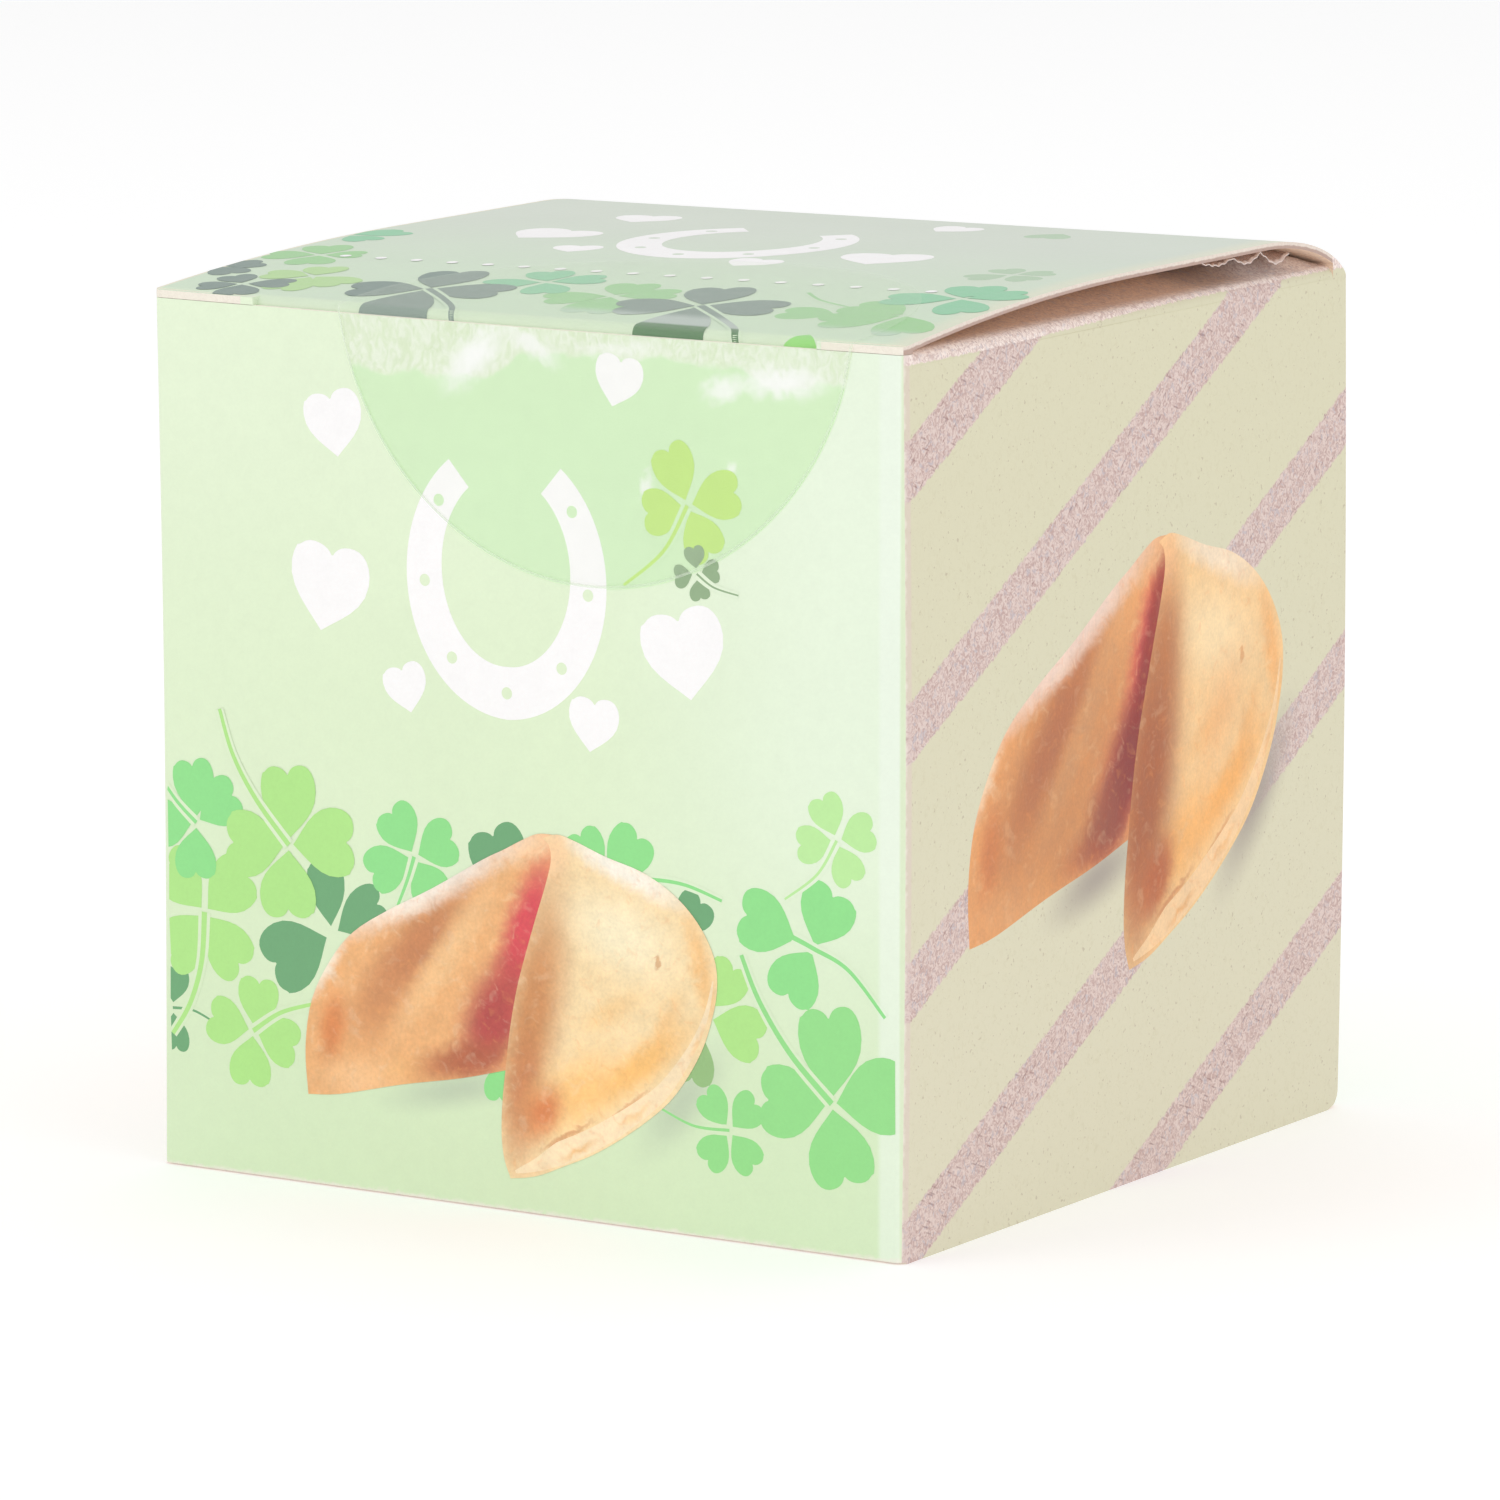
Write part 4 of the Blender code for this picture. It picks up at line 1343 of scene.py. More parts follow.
# How far the film lies loose below the fold: a wavy line, deeper at the left and at the right
LOOSE_GRAIN = (3.0 * MM, 3.0)
LOOSE_WAVE = (2.4, 0.9)
LOOSE_LEFT = (1.5, -2.5)
LOOSE_LEFT_ADDS = 2.0
LOOSE_RIGHT = (17.0, 20.0)
LOOSE_RIGHT_ADDS = 1.0
LOOSE_EDGE = 0.3
LOOSE_SHARE = 0.85
DISC_EDGE = 0.05
STREAK_STRETCH = (1.5, 0.9, 1.0)
STREAK_GRAIN = (1.0, 5.0, 1.6)
STREAK_BAND = (0.3, 0.7)
HINGE_FOLD_HEIGHT = 58.2
HINGE_FOLD_LEAN = 0.5 / 60
# A lighter band where the card curves towards the light before the side fold: painted highlight
CREASE_HIGHLIGHT = (242, 251, 238)
FOLD_YELLOW = (224, 237, 204)
WORN_CREAM = (246, 240, 228)
SHADOW_GREEN = (178, 190, 170)
PRINT_RELIEF = 0.012 * MM
RAW_RELIEF = 0.05 * MM
HINGE_WEAR = 0.16
# Cookie's shadows on the print: place, turn, length, width, share
WALL_SHADOWS = [((-5.4, 8.0), 13, 8.6, 1.9, 0.6), ((12.8, 9.2), 50, 7.0, 2.6, 0.6)]
SIDE_SHADOWS = [((-5.0, 22.2), 16, 9.0, 2.8, 0.95), ((16.9, 24.4), 50, 10.5, 3.5, 0.95)]


def haze_rim(tree, place, across):
    """How far below the fold the film lies loose, in a wavy line."""
    rim = reckon(tree, "MULTIPLY_ADD", speckle(tree, place, *LOOSE_GRAIN), *LOOSE_WAVE)
    rim = reckon(tree, "MULTIPLY_ADD", fade(tree, across, *LOOSE_LEFT), LOOSE_LEFT_ADDS, rim)
    return reckon(tree, "MULTIPLY_ADD", fade(tree, across, *LOOSE_RIGHT), LOOSE_RIGHT_ADDS, rim)


def under_film(tree, groups, place, across, up, tone):
    """The print under the seal: deeper where the film sticks flat, streaky where it lies loose, with
    painted sheen in that haze and white patches of painted reflection.
    """
    fold = LID_FRONT_TOP / MM
    flat = flat_place(tree, across, up)
    reach = distance_to(tree, flat, (SEAL_ACROSS, fold + SEAL_PAST_EDGE, 0.0))
    disc = fade(tree, reach, SEAL_RADIUS + DISC_EDGE, SEAL_RADIUS - DISC_EDGE)
    depth = reckon(tree, "SUBTRACT", fold, up)
    past_rim = reckon(tree, "SUBTRACT", depth, haze_rim(tree, place, across))
    stuck = fade(tree, past_rim, -LOOSE_EDGE, LOOSE_EDGE)
    deep = blend(tree, times(tree, disc, stuck), tone, colour(*GREEN_SEALED))
    drawn = reckon_place(tree, "MULTIPLY", flat, STREAK_STRETCH)
    streaks = speckle(tree, drawn, *STREAK_GRAIN)
    loose = times(tree, disc, reckon(tree, "SUBTRACT", 1.0, stuck))
    # Pale streaks of loose film with painted sheen
    haze_and_sheen = blend(tree, fade(tree, streaks, *STREAK_BAND), colour(*LOOSE_HAZE_AND_SHEEN_LOW), colour(*LOOSE_HAZE_AND_SHEEN_HIGH))
    result = blend(tree, times(tree, loose, LOOSE_SHARE), deep, haze_and_sheen)
    drift, _ = drifted(tree, flat, *REFLECTION_DRIFT)
    # White patches of painted reflection on the loose film
    for (u, v), turn, length, width, share in PAINTED_REFLECTIONS:
        mask = spot(tree, groups, drift, (u, fold + v), turn, length, width, REFLECTION_SOFTNESS)
        mask = times(tree, times(tree, mask, share), disc)
        result = tint(tree, result, mask, REFLECTION_WHITE)
    return result


def wear(tree, groups, place, distance, reach, tone, bared=WORN_CREAM):
    """Ink cracked off within this reach of a fold, down to the bare tone."""
    worn = placed(tree, groups["fold_wear"], {"Place": place, "Distance": distance, "Reach": reach})["Mask"]
    return blend(tree, worn, tone, colour(*bared))


def hinge_wear(tree, groups, place, x, z, tone):
    """Cracked ink along the lid's hinge fold."""
    fold = reckon(tree, "MULTIPLY_ADD", x, HINGE_FOLD_LEAN, HINGE_FOLD_HEIGHT)
    distance = reckon(tree, "ABSOLUTE", reckon(tree, "SUBTRACT", z, fold))
    return wear(tree, groups, place, distance, HINGE_WEAR, tone)


def cookie_shadows(tree, groups, across, up, shadows, shade, tone):
    """The soft shadows beside the pictured cookie."""
    flat = flat_place(tree, across, up)
    for centre, turn, length, width, share in shadows:
        mask = times(tree, spot(tree, groups, flat, centre, turn, length, width, 1.0), share)
        tone = tint(tree, tone, mask, shade)
    return tone


# Bands of the walls' print and of the sheen and highlight painted on it, in millimetres: where a tone
# starts and where it is full
MIDDLE_RISES = (2.0, 32.0)
TOP_RISES = (30.0, 60.0)
PALE_AND_SHEEN_ACROSS = (2.0, 28.0)
PALE_AND_SHEEN_RISES = (8.0, 34.0)
PALE_AND_SHEEN_SHARE = 0.7
CREASE_HIGHLIGHT_STARTS = (27.8, 28.3)
CREASE_HIGHLIGHT_ENDS = (29.8, 29.5)
CREASE_HIGHLIGHT_SHARE = 0.6
CORNER_YELLOWS = (29.5, 29.7)
CORNER_FOLD = 30.1
CORNER_WEAR = 0.22
FOOT_WEAR = 0.45


def panel_print(name, groups, facing):
    """Green print of the front, or of the back for facing -1, with its creases and the cookie's printed
    shadows, a painted highlight before the side fold and a painted sheen towards the upper right.
    """
    material, tree, shader = start_material(name)
    place, x, _, z = object_place(tree)
    across = times(tree, x, facing)
    tone = blend(tree, fade(tree, z, *MIDDLE_RISES), colour(*GREEN_LOW), colour(*GREEN_MIDDLE))
    tone = tint(tree, tone, fade(tree, z, *TOP_RISES), GREEN_TOP)
    # Painted sheen, with some of the print's own paleness, towards the upper right
    right = times(tree, fade(tree, across, *PALE_AND_SHEEN_ACROSS), fade(tree, z, *PALE_AND_SHEEN_RISES))
    tone = tint(tree, tone, right, GREEN_PALE_AND_SHEEN, PALE_AND_SHEEN_SHARE)
    tone = cookie_shadows(tree, groups, across, z, WALL_SHADOWS, SHADOW_GREEN, tone)
    if facing > 0:
        tone = under_film(tree, groups, place, across, z, tone)
    else:
        tone = hinge_wear(tree, groups, place, x, z, tone)
    # Painted highlight where the card curves towards the light before the side fold
    crease_highlight = times(tree, fade(tree, across, *CREASE_HIGHLIGHT_STARTS), fade(tree, across, *CREASE_HIGHLIGHT_ENDS))
    tone = tint(tree, tone, crease_highlight, CREASE_HIGHLIGHT, CREASE_HIGHLIGHT_SHARE)
    tone = tint(tree, tone, fade(tree, across, *CORNER_YELLOWS), FOLD_YELLOW)
    distance = reckon(tree, "SUBTRACT", CORNER_FOLD, reckon(tree, "ABSOLUTE", x))
    tone = wear(tree, groups, place, distance, CORNER_WEAR, tone)
    tone = wear(tree, groups, place, z, FOOT_WEAR, tone)
    finish_card(tree, shader, groups, place, tone, 1.0, PRINT_RELIEF)
    return material


# Bands of the lid's print and of the shade, glare and highlight painted on it, in millimetres, and its
# tones
LID_GLARE_GREYS = (-26.0, 14.0)
LID_FOLD_FACE_UNSHADED_BAND = (-28.6, -29.2)
LID_FOLD_FACE_UNSHADED = (220, 236, 208)
# A cream band along the lid's cut sides: painted highlight of the rounded edge
LID_EDGE_HIGHLIGHT_BAND = (27.4, 29.6)
LID_EDGE_HIGHLIGHT_SHARE = 0.75
LID_EDGE_HIGHLIGHT = (230, 229, 206)
LID_CUT = 29.95
LID_WEAR = 0.2
LID_WORN = (236, 232, 212)
HINGE_ROLLS_DOWN = (61.0, 58.4)
HINGE_ROLLS_BACK = (20.0, 24.0)
LID_MOTTLE = 1.2


def lid_print(groups):
    """Green print of the lid with painted shade and glare, paler to the front and lighter where the tuck
    fold faces forward, with a painted highlight band and worn cream ink at its cut sides.
    """
    material, tree, shader = start_material("lid_print")
    place, x, y, z = object_place(tree)
    # Painted shade and glare: darker and greyer than the walls' green, greyer towards the back
    tone = blend(tree, fade(tree, y, *LID_GLARE_GREYS), colour(*LID_FRONT_SHADE_AND_GLARE), colour(*LID_BACK_SHADE_AND_GLARE))
    # On the tuck fold's forward face a lighter green without the painted shade and glare
    tone = tint(tree, tone, fade(tree, y, *LID_FOLD_FACE_UNSHADED_BAND), LID_FOLD_FACE_UNSHADED)
    # Painted highlight of the rounded cut edge along the lid's sides
    edge_highlight = times(tree, fade(tree, x, *LID_EDGE_HIGHLIGHT_BAND), LID_EDGE_HIGHLIGHT_SHARE)
    tone = tint(tree, tone, edge_highlight, LID_EDGE_HIGHLIGHT)
    distance = reckon(tree, "SUBTRACT", LID_CUT, reckon(tree, "ABSOLUTE", x))
    tone = wear(tree, groups, place, distance, LID_WEAR, tone, LID_WORN)
    # Over the hinge the painted shade and glare fade into the walls' top green
    rolled = times(tree, fade(tree, z, *HINGE_ROLLS_DOWN), fade(tree, y, *HINGE_ROLLS_BACK))
    tone = tint(tree, tone, rolled, GREEN_TOP)
    tone = hinge_wear(tree, groups, place, x, z, tone)
    finish_card(tree, shader, groups, place, tone, LID_MOTTLE, PRINT_RELIEF)
    return material


# The side print: beige bars between slanting bars of bare board

BAR_SLOPE = 0.53
BAR_PITCH = 17.25
BAR_START = 52.5 + 29.8 * BAR_SLOPE
BAR_HALF = 2.05
PRINT_LINE = 59.7
PRINT_LINE_RISE = 0.5
BEIGE_UP = (222, 218, 190)
BEIGE_DOWN = (224, 219, 194)
BARE_PINK = (229, 210, 203)
# Kraft above the print line: lighter than the bare board as painted light, browner further in under the lid
# as painted shade
KRAFT_LIGHTENED = (255, 241, 233)
KRAFT_GAP_SHADE = (236, 206, 182)
SIDE_SHADOW = (176, 166, 156)
BAR_GRAIN = (0.35 * MM, 3.0)
BAR_RAGGED = (0.7, -0.35)
BAR_EDGE = 0.12
BARE_FIBRE = 0.95
BEIGE_RISES = (5.0, 50.0)
BEIGE_GRAIN = (0.5 * MM, 4.0, 1.5)
GRAIN_TONE = (208, 201, 170)
GRAIN_BAND = (0.5, 0.75)
GRAIN_SHARE = 0.35
SPECK_GRAIN = (0.3 * MM, 1.0)
SPECK_TONE = (170, 150, 130)
SPECK_BAND = (0.68, 0.76)
SPECK_SHARE = 0.4
GAP_SHADE_ACROSS = (29.4, 28.0)
GAP_SHADE_DEPTH = (20.0, 15.0)
KRAFT_FIBRE = 0.65
LINE_RISES = (-22.0, 8.0)
LINE_RAGGED = 0.5
LINE_EDGE = 0.05
FRONT_FOLD_PLACE = 29.7
FRONT_PINKS = (0.7, 0.45)
FRONT_PINK_SHARE = 0.5
FRONT_PINK = (226, 205, 200)
FRONT_WEAR = 0.3
REAR_FOLD_PLACE = 30.4
REAR_WEAR = 0.35
# Roughness and shine
SIDE_SURFACE = (0.85, 0.25)
BOARD_SURFACE = (0.95, 0.2)


def rough_finish(shader, roughness, shine):
    """A dull surface with little shine."""
    shader.inputs["Roughness"].default_value = roughness
    shader.inputs["Specular IOR Level"].default_value = shine


def beige_print(tree, z, grain, specks):
    """The beige ink of the sides, grained and lightly specked."""
    beige = blend(tree, fade(tree, z, *BEIGE_RISES), colour(*BEIGE_DOWN), colour(*BEIGE_UP))
    for unevenness, band, share, tone in ((grain, GRAIN_BAND, GRAIN_SHARE, GRAIN_TONE),
                                          (specks, SPECK_BAND, SPECK_SHARE, SPECK_TONE)):
        beige = tint(tree, beige, fade(tree, unevenness, *band), tone, share)
    return beige


def side_print(groups):
    """Beige print of the sides, crossed by slanting bars of bare board, kraft above the print line, lighter
    than bare board as painted light and browner under the lid as painted shade.
    """
    material, tree, shader = start_material("side_print")
    place, x, y, z = object_place(tree)
    across = times(tree, y, reckon(tree, "SIGN", x))
    ragged = reckon(tree, "MULTIPLY_ADD", speckle(tree, place, *BAR_GRAIN), *BAR_RAGGED)
    rise = reckon(tree, "SUBTRACT", z, times(tree, across, BAR_SLOPE))
    rise = reckon(tree, "ADD", reckon(tree, "SUBTRACT", rise, BAR_START), ragged)
    off = reckon(tree, "PINGPONG", rise, BAR_PITCH / 2)
    bar = fade(tree, off, BAR_HALF + BAR_EDGE, BAR_HALF - BAR_EDGE)
    grain = speckle(tree, place, *BEIGE_GRAIN)
    beige = beige_print(tree, z, grain, speckle(tree, place, *SPECK_GRAIN))
    bare = colour(*BARE_PINK)
    raw = placed(tree, groups["raw_board"], {"Place": place, "Color": bare, "Fibre": BARE_FIBRE})
    tone = blend(tree, bar, beige, raw["Color"])
    tone = cookie_shadows(tree, groups, across, z, SIDE_SHADOWS, SIDE_SHADOW, tone)
    # Painted shade: browner kraft further in under the lid, towards the front
    inside = fade(tree, reckon(tree, "ABSOLUTE", x), *GAP_SHADE_ACROSS)
    inside = times(tree, inside, fade(tree, y, *GAP_SHADE_DEPTH))
    kraft = blend(tree, inside, colour(*KRAFT_LIGHTENED), colour(*KRAFT_GAP_SHADE))
    kraft = placed(tree, groups["raw_board"], {"Place": place, "Color": kraft, "Fibre": KRAFT_FIBRE})
    line = reckon(tree, "MULTIPLY_ADD", fade(tree, y, *LINE_RISES), PRINT_LINE_RISE, PRINT_LINE)
    past = reckon(tree, "ADD", reckon(tree, "SUBTRACT", z, line), times(tree, ragged, LINE_RAGGED))
    tone = blend(tree, fade(tree, past, -LINE_EDGE, LINE_EDGE), tone, kraft["Color"])
    from_front = reckon(tree, "ADD", y, FRONT_FOLD_PLACE)
    pink = times(tree, fade(tree, from_front, *FRONT_PINKS), FRONT_PINK_SHARE)
    tone = tint(tree, tone, pink, FRONT_PINK)
    tone = wear(tree, groups, place, from_front, FRONT_WEAR, tone)
    tone = wear(tree, groups, place, reckon(tree, "SUBTRACT", REAR_FOLD_PLACE, y), REAR_WEAR, tone)
    tree.links.new(tone, shader.inputs["Base Color"])
    rough_finish(shader, *SIDE_SURFACE)
    add_relief(tree, shader, blend(tree, bar, grain, raw["Height"]), RAW_RELIEF / 2)
    return material


# The darker core of a cut edge: the board's inner layer and a painted shadow line under the lid's edge
CORE_AND_SHADOW_GRAIN = 0.5 * MM
CORE_AND_SHADOW_WAVE = 0.3
CORE_AND_SHADOW_BAND = (0.55, 0.8)
# Bare boards: tone, share of the fibres, tone of the core, which also paints a shadow line
BOARDS = {
    "raw_edge": ((238, 226, 214), 0.2, (192, 166, 154)),
    "shoulder_edge": ((250, 243, 229), 0.1, None),
    "inner_card": ((250, 224, 200), 0.3, None),
}


def board(name, groups, tone, fibre, core_and_shadow):
    """Uncoated board, for cut edges, with a darker core where one is given, partly the board's inner layer
    and partly a painted shadow line, and for inner faces.
    """
    material, tree, shader = start_material(name)
    place = own_place(tree)
    tone = colour(*tone)
    if core_and_shadow:
        # Darker lower part of the edge: inner layer and painted shadow line
        depth = node(tree, "ShaderNodeAttribute", attribute_name="depth_in_lid").outputs["Fac"]
        wavy = reckon(tree, "MULTIPLY_ADD", speckle(tree, place, CORE_AND_SHADOW_GRAIN), CORE_AND_SHADOW_WAVE, depth)
        tone = tint(tree, tone, fade(tree, wavy, *CORE_AND_SHADOW_BAND), core_and_shadow)
    raw = placed(tree, groups["raw_board"], {"Place": place, "Color": tone, "Fibre": fibre})
    tree.links.new(raw["Color"], shader.inputs["Base Color"])
    rough_finish(shader, *BOARD_SURFACE)
    add_relief(tree, shader, raw["Height"], RAW_RELIEF)
    return material


# The picture of the cookie: a base tone, then soft fields, each with its
# centre, turn, length, width, softness, share and tone

LEFT_WING_TONE = (242, 182, 124)
LEFT_WING_FIELDS = [
    ((-8.6, 17.4), 46, 9.6, 3.1, 0.9, 0.8, (192, 118, 76)),
    ((-12.0, 12.8), 50, 5.2, 3.0, 1.0, 0.65, (212, 142, 91)),
    ((-15.6, 11.2), 80, 3.8, 1.7, 0.9, 0.85, (222, 132, 74)),
    ((-13.4, 7.9), 8, 5.0, 2.2, 0.9, 0.9, (253, 200, 146)),
    ((-6.0, 17.3), 54, 10.4, 1.8, 0.9, 0.9, (251, 202, 146)),
    ((-9.0, 9.0), 12, 4.4, 1.4, 1.0, 0.6, (249, 192, 126)),
    ((0.3, 19.2), 71, 8.6, 2.5, 0.75, 1.0, (222, 78, 88)),
    ((-2.2, 13.4), 64, 6.8, 3.5, 0.8, 1.0, (190, 78, 74)),
    ((-5.0, 10.0), 16, 6.0, 1.9, 0.9, 0.85, (180, 92, 62)),
    ((0.8, 25.4), 26, 4.6, 1.6, 0.9, 0.95, (255, 212, 168)),
    ((-7.5, 22.0), 28, 12.0, 2.2, 0.8, 0.95, (255, 244, 232)),
    ((-16.3, 15.6), 58, 4.4, 1.4, 0.8, 0.95, (255, 242, 222)),
]
RIGHT_WING_TONE = (252, 224, 176)
RIGHT_WING_FIELDS = [
    ((0.9, 14.0), 79, 14.0, 3.5, 0.9, 0.95, (208, 140, 86)),
    ((0.0, 8.0), 86, 6.5, 2.4, 0.9, 0.7, (206, 124, 76)),
    ((4.4, 8.8), 38, 6.6, 3.5, 1.0, 0.9, (253, 198, 122)),
    ((9.4, 11.2), 38, 7.4, 1.9, 0.9, 0.85, (251, 190, 106)),
    ((11.6, 14.6), 60, 3.2, 1.3, 1.0, 0.5, (248, 190, 118)),
    ((7.0, 14.6), 30, 4.4, 1.4, 1.0, 0.45, (248, 196, 124)),
    ((14.2, 18.4), 105, 5.6, 1.3, 0.9, 0.75, (250, 194, 124)),
    ((1.7, 7.2), 58, 3.2, 2.0, 0.9, 0.9, (222, 128, 74)),
    ((3.4, 5.7), 30, 3.4, 0.35, 0.8, 0.6, (206, 128, 80)),
    ((8.6, 8.5), 38, 2.8, 0.3, 0.8, 0.5, (212, 138, 88)),
    ((8.0, 20.0), -20, 6.6, 3.8, 0.9, 0.85, (255, 243, 208)),
    ((8.2, 24.5), -22, 7.2, 1.6, 0.8, 0.95, (255, 249, 236)),
    ((2.5, 24.9), 78, 2.8, 2.0, 0.9, 0.9, (255, 212, 166)),
    ((0.6, 3.3), 20, 1.9, 0.9, 0.8, 0.8, (250, 208, 160)),
    ((10.9, 18.4), 80, 0.6, 0.3, 0.5, 0.7, (214, 158, 108)),
]
# Deeper tones of the larger cookie on the sides
SIDE_LEFT_FIELDS = LEFT_WING_FIELDS + [
    ((-9.0, 14.2), 46, 14.0, 7.0, 0.6, 0.62, (196, 136, 86)),
    ((-9.6, 16.4), 50, 9.0, 2.2, 0.9, 0.65, (180, 110, 74)),
    ((-6.2, 16.6), 56, 9.4, 1.3, 0.9, 0.6, (212, 160, 114)),
    ((0.8, 19.4), 72, 9.6, 1.9, 0.75, 0.95, (154, 42, 34)),
    ((1.6, 22.2), 74, 4.2, 1.1, 0.8, 0.8, (160, 52, 38)),
    ((-1.6, 14.0), 66, 6.6, 2.6, 0.8, 0.9, (136, 42, 38)),
    ((-4.0, 11.4), 50, 4.0, 2.6, 0.9, 0.75, (154, 82, 62)),
    ((0.8, 25.4), 26, 4.6, 1.6, 0.9, 0.5, (230, 184, 144)),
    ((-7.4, 22.0), 28, 12.0, 2.2, 0.8, 0.85, (247, 234, 238)),
]
SIDE_RIGHT_FIELDS = RIGHT_WING_FIELDS + [
    ((0.8, 13.0), 80, 14.0, 4.9, 0.9, 0.9, (170, 98, 56)),
    ((2.4, 20.2), 76, 6.0, 2.6, 1.0, 0.75, (192, 124, 72)),
    ((1.8, 7.0), 60, 3.4, 2.2, 0.9, 0.75, (186, 104, 58)),
    ((8.6, 15.6), 60, 6.0, 3.0, 1.0, 0.5, (252, 200, 144)),
]
CRUST_TONE = (255, 230, 192)
CRUST_FIELDS = [
    ((14.0, 13.4), 62, 2.0, 0.5, 1.0, 0.6, (248, 196, 130)),
    ((9.0, 7.8), 40, 2.6, 0.4, 1.0, 0.6, (248, 200, 136)),
    ((4.4, 4.9), 28, 2.4, 0.4, 1.0, 0.7, (244, 188, 120)),
]
WALL_VEIL = (255, 254, 252)
SIDE_VEIL = (250, 232, 212)
CRUST_DRIFT = (0.9, 5.0, 1.2, 1.0)
PIT_TONE = (238, 166, 100)
PIT_BAND = (0.55, 0.75)
PIT_SHARE = 0.25
FLAKE_TONE = (255, 236, 206)
FLAKE_BAND = (0.46, 0.26)
FLAKE_SHARE = 0.14
CRUST_MOTTLE = 5.0


def cookie_print(name, groups, tone, fields, veil):
    """One part of the printed cookie, its tones laid over each other and deepened by a last one."""
    material, tree, shader = start_material(name)
    flat = picture_place(tree)
    drift, crust = drifted(tree, flat, *CRUST_DRIFT)
    result = colour(*tone)
    for centre, turn, length, width, softness, share, paint in fields:
        mask = spot(tree, groups, drift, centre, turn, length, width, softness)
        result = tint(tree, result, mask, paint, share)
    for band, share, paint in ((PIT_BAND, PIT_SHARE, PIT_TONE), (FLAKE_BAND, FLAKE_SHARE, FLAKE_TONE)):
        result = tint(tree, result, fade(tree, crust, *band), paint, share)
    result = blend(tree, 1.0, result, colour(*veil), "MULTIPLY")
    place = own_place(tree)
    finish_card(tree, shader, groups, place, result, CRUST_MOTTLE, PRINT_RELIEF)
    return material


# The films

FILM_TONE = (236, 246, 228)
FILM_RIM = (234, 246, 226)
FILM_ROUGHNESS = 0.1
RIM_STARTS = 0.24
RIM_FULL = 0.12
# From the front wall to the lid the film gets less clear and its rim less milky
OVER_FOLD = (-0.5, 0.5)
FILM_COVER = (0.04, 0.05)
RIM_COVER = (-0.2, 0.3)
FILM_GRAIN = 1.6 * MM
FILM_RELIEF = 0.03 * MM


def seal_finish():
    """Clear glossy film with a slightly milky rim."""
    material, tree, shader = start_material("seal_film")
    flat = picture_place(tree)
    place = own_place(tree)
    up = node(tree, "ShaderNodeSeparateXYZ", {0: flat}).outputs[1]
    reach = distance_to(tree, flat, (SEAL_ACROSS, SEAL_PAST_EDGE, 0.0))
    rim = fade(tree, reach, SEAL_RADIUS - RIM_STARTS, SEAL_RADIUS - RIM_FULL)
    tone = blend(tree, rim, colour(*FILM_TONE), colour(*FILM_RIM))
    clear = reckon(tree, "MULTIPLY_ADD", fade(tree, up, *OVER_FOLD), *FILM_COVER)
    milky = reckon(tree, "MULTIPLY_ADD", fade(tree, up, *OVER_FOLD), *RIM_COVER)
    cover = reckon(tree, "MAXIMUM", clear, times(tree, rim, milky))
    in_shadow_ray = node(tree, "ShaderNodeLightPath").outputs["Is Shadow Ray"]
    seen = times(tree, cover, reckon(tree, "SUBTRACT", 1.0, in_shadow_ray))
    tree.links.new(tone, shader.inputs["Base Color"])
    tree.links.new(seen, shader.inputs["Alpha"])
    shader.inputs["Roughness"].default_value = FILM_ROUGHNESS
    add_relief(tree, shader, speckle(tree, place, FILM_GRAIN), FILM_RELIEF)
    return material


# The film's body tinted brownish pink: painted shade of the gap seen through it
CRIMP_SHADED_LOW = (176, 138, 122)
CRIMP_SHADED_HIGH = (206, 176, 164)
CRIMP_EDGE = (238, 222, 216)
MILK_GRAIN = (0.8 * MM, 3.0, 0.6)
MILK_BAND = (0.4, 0.65)
EDGE_BAND = (28.72, 28.92)
CRIMP_COVER = (0.45, 0.45)
CRIMP_ROUGHNESS = 0.22
CRIMP_RELIEF = 0.04 * MM


def wrapper_finish():
    """Thin crimped film with a pale, slightly milky edge, its body tinted brownish pink as painted shade of
    the gap behind it.
    """
    material, tree, shader = start_material("wrapper_film")
    place, x, _, _ = object_place(tree)
    milk = speckle(tree, place, *MILK_GRAIN)
    edge = fade(tree, x, *EDGE_BAND)
    # Body tone: painted shade, milky in places
    tone = blend(tree, fade(tree, milk, *MILK_BAND), colour(*CRIMP_SHADED_LOW), colour(*CRIMP_SHADED_HIGH))
    tone = tint(tree, tone, edge, CRIMP_EDGE)
    tree.links.new(tone, shader.inputs["Base Color"])
    tree.links.new(reckon(tree, "MULTIPLY_ADD", edge, *CRIMP_COVER), shader.inputs["Alpha"])
    shader.inputs["Roughness"].default_value = CRIMP_ROUGHNESS
    add_relief(tree, shader, milk, CRIMP_RELIEF)
    return material


# The lid's dark green ink is greyed by painted glare
INK_TONES = {
    "mid": (147, 228, 143),
    "mid_deep": (152, 226, 142),
    "light_yellow": (180, 234, 140),
    "dark": (112, 171, 120),
    "light": (192, 239, 162),
    "dull": (154, 194, 130),
    "yellow_green": (200, 236, 128),
    "grey_green": (150, 178, 138),
    "lid_dark_glare_grey": (134, 152, 144),
    "lid_teal": (150, 210, 170),
    "lid_green": (166, 214, 156),
    "lid_light": (188, 223, 160),
    "lid_sage": (185, 210, 180),
    "lid_bright": (150, 222, 120),
    "white": (255, 253, 253),
}
# Where the film bridges the lid's front fold the ink gets a greyish painted sheen, below that it looks
# deeper
SEALED_TONES = {
    "lid_dark_glare_grey": (72, 122, 72),
    "lid_bright": (150, 224, 116),
    "lid_green": (150, 212, 130),
}
BRIDGED_SHEEN = (214, 222, 218)
UNDER_SEAL = (-4.0, 1.0)
BRIDGED_SHEEN_BAND = (-25.2, -27.0)
BRIDGED_SHEEN_SHARE = 0.6
STUCK_BAND = (-28.2, -28.8)
INK_MOTTLE = 1.2


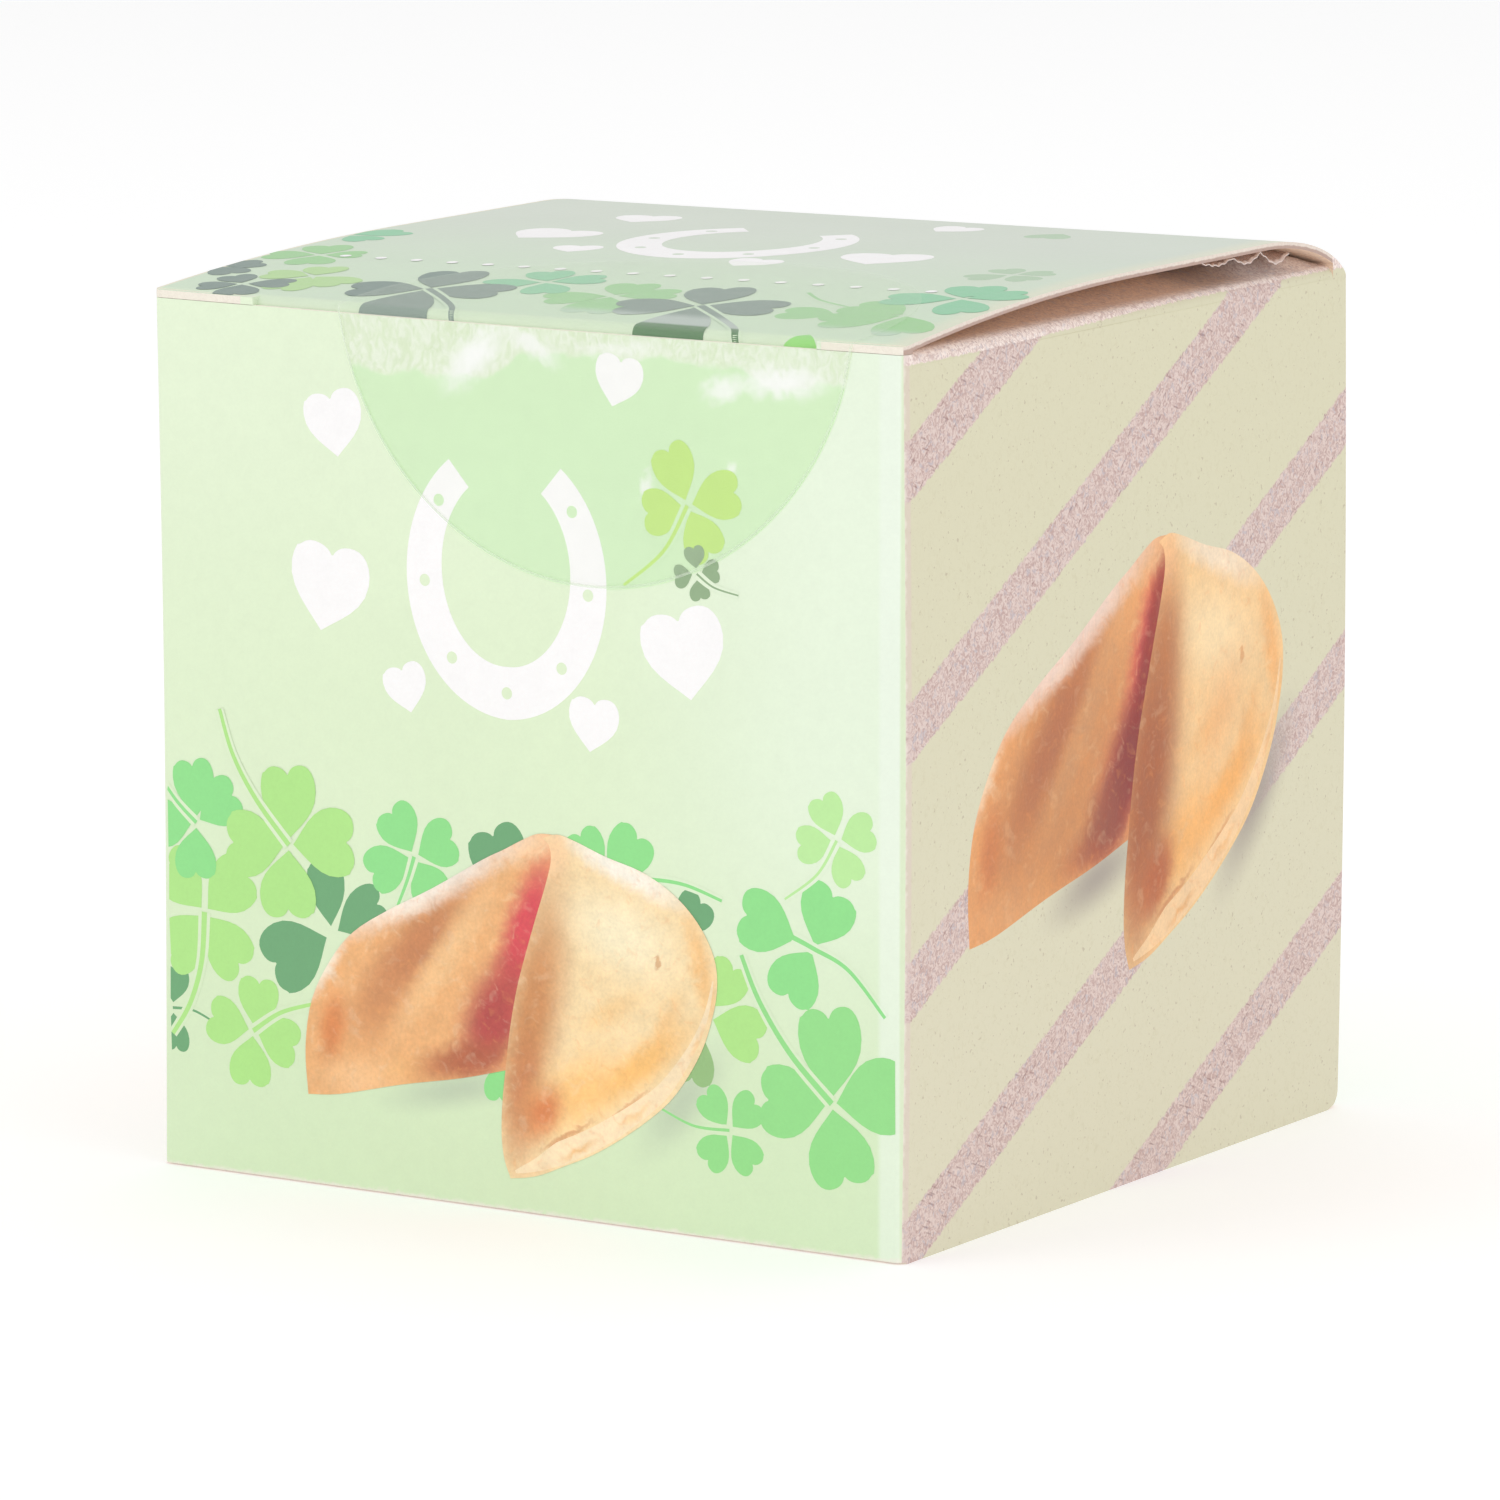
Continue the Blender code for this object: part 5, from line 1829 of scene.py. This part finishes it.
def card_inks(groups):
    """The inks of the printed motifs."""
    inks = {}
    for name, tone in INK_TONES.items():
        material, tree, shader = start_material("ink_" + name)
        place, x, y, _ = object_place(tree)
        tone = colour(*tone)
        if name in SEALED_TONES:
            under_seal = fade(tree, x, *UNDER_SEAL)
            # Painted sheen where the film bridges the fold
            bridged_sheen = times(tree, fade(tree, y, *BRIDGED_SHEEN_BAND), BRIDGED_SHEEN_SHARE)
            tone = tint(tree, tone, bridged_sheen, BRIDGED_SHEEN, under_seal)
            stuck = times(tree, fade(tree, y, *STUCK_BAND), under_seal)
            tone = blend(tree, stuck, tone, colour(*SEALED_TONES[name]))
        finish_card(tree, shader, groups, place, tone, INK_MOTTLE, PRINT_RELIEF)
        inks[name] = material
    return inks


def card_finishes(groups):
    """All finishes of the card and of the pictures on it."""
    finishes = {
        "front_print": panel_print("front_print", groups, 1.0),
        "back_print": panel_print("back_print", groups, -1.0),
        "side_print": side_print(groups),
        "lid_print": lid_print(groups),
    }
    for name, look in BOARDS.items():
        finishes[name] = board(name, groups, *look)
    crust = (CRUST_TONE, CRUST_FIELDS)
    pictures = {
        "wall": (WALL_VEIL, {"left": (LEFT_WING_TONE, LEFT_WING_FIELDS), "crust": crust,
                             "right": (RIGHT_WING_TONE, RIGHT_WING_FIELDS)}),
        "side": (SIDE_VEIL, {"left": (LEFT_WING_TONE, SIDE_LEFT_FIELDS), "crust": crust,
                             "right": (RIGHT_WING_TONE, SIDE_RIGHT_FIELDS)}),
    }
    for panels, (veil, parts) in pictures.items():
        for part, (tone, fields) in parts.items():
            name = panels + "_cookie_" + part
            finishes[name] = cookie_print(name, groups, tone, fields, veil)
    return finishes


# Studio

CAMERA_LENS = 222.05
CAMERA_SENSOR = 36.0
CAMERA_AZIMUTH = math.radians(32.21)
CAMERA_ELEVATION = math.radians(9.75)
CAMERA_ROLL = math.radians(0.05)
CAMERA_DISTANCE = 645.6 * MM
CAMERA_AIM = Vector((-0.40 * MM, -0.34 * MM, 27.46 * MM))
MID_HEIGHT = 30.0 * MM
FLOOR_SIZE = 8.0
FLOOR_WHITE = (0.9, 0.9, 0.9, 1.0)
FLOOR_ROUGHNESS = 0.9
FLOOR_GLOW = 0.22
AIR_LIGHT = 0.75
WHITE = (1.0, 1.0, 1.0, 1.0)
# Softboxes: name, place, size, power
SOFTBOXES = [
    ("key_softbox", (-0.55, -0.75, 0.65), 0.6, 1.2),
    ("fill_softbox", (0.85, -0.28, 0.18), 0.6, 1.1),
    ("top_softbox", (0.0, 0.2, 1.0), 0.8, 1.35),
]


def make_camera():
    """The camera at the photograph's viewpoint."""
    deselect_all()
    flat = math.cos(CAMERA_ELEVATION)
    toward = (math.sin(CAMERA_AZIMUTH) * flat, -math.cos(CAMERA_AZIMUTH) * flat, math.sin(CAMERA_ELEVATION))
    back = Vector(toward)
    bpy.ops.object.camera_add(location=CAMERA_AIM + back * CAMERA_DISTANCE)
    camera = bpy.context.object
    camera.name = "studio_camera"
    camera.rotation_mode = "XYZ"
    camera.rotation_euler = (math.pi / 2 - CAMERA_ELEVATION, CAMERA_ROLL, CAMERA_AZIMUTH)
    camera.data.lens = CAMERA_LENS
    camera.data.sensor_width = CAMERA_SENSOR
    bpy.context.scene.camera = camera


def add_light(name, place, size, power):
    """A square softbox that looks at the carton's middle."""
    deselect_all()
    bpy.ops.object.light_add(type="AREA", location=place)
    light = bpy.context.object
    light.name = name
    light.data.size = size
    light.data.energy = power
    toward = Vector((0, 0, MID_HEIGHT)) - Vector(place)
    light.rotation_euler = toward.to_track_quat("-Z", "Y").to_euler()


def make_studio():
    """A pale floor under soft white light."""
    deselect_all()
    bpy.ops.mesh.primitive_plane_add(size=FLOOR_SIZE)
    floor = named("studio_floor")
    material, _, shader = start_material("pale_floor")
    shader.inputs["Base Color"].default_value = FLOOR_WHITE
    shader.inputs["Roughness"].default_value = FLOOR_ROUGHNESS
    shader.inputs["Emission Color"].default_value = WHITE
    shader.inputs["Emission Strength"].default_value = FLOOR_GLOW
    floor.data.materials.append(material)
    for softbox in SOFTBOXES:
        add_light(*softbox)
    world = bpy.data.worlds.new("studio_air")
    world.use_nodes = True
    air = world.node_tree.nodes["Background"]
    air.inputs["Color"].default_value = WHITE
    air.inputs["Strength"].default_value = AIR_LIGHT
    bpy.context.scene.world = world


def main():
    """Build the dressed carton and its studio."""
    make_camera()
    make_studio()
    groups = shared_effects()
    finishes = card_finishes(groups)
    make_carton(finishes)
    make_prints(finishes, card_inks(groups))
    make_seal(seal_finish())
    make_wrapper(wrapper_finish())
    bpy.context.scene.view_settings.view_transform = "Standard"


main()
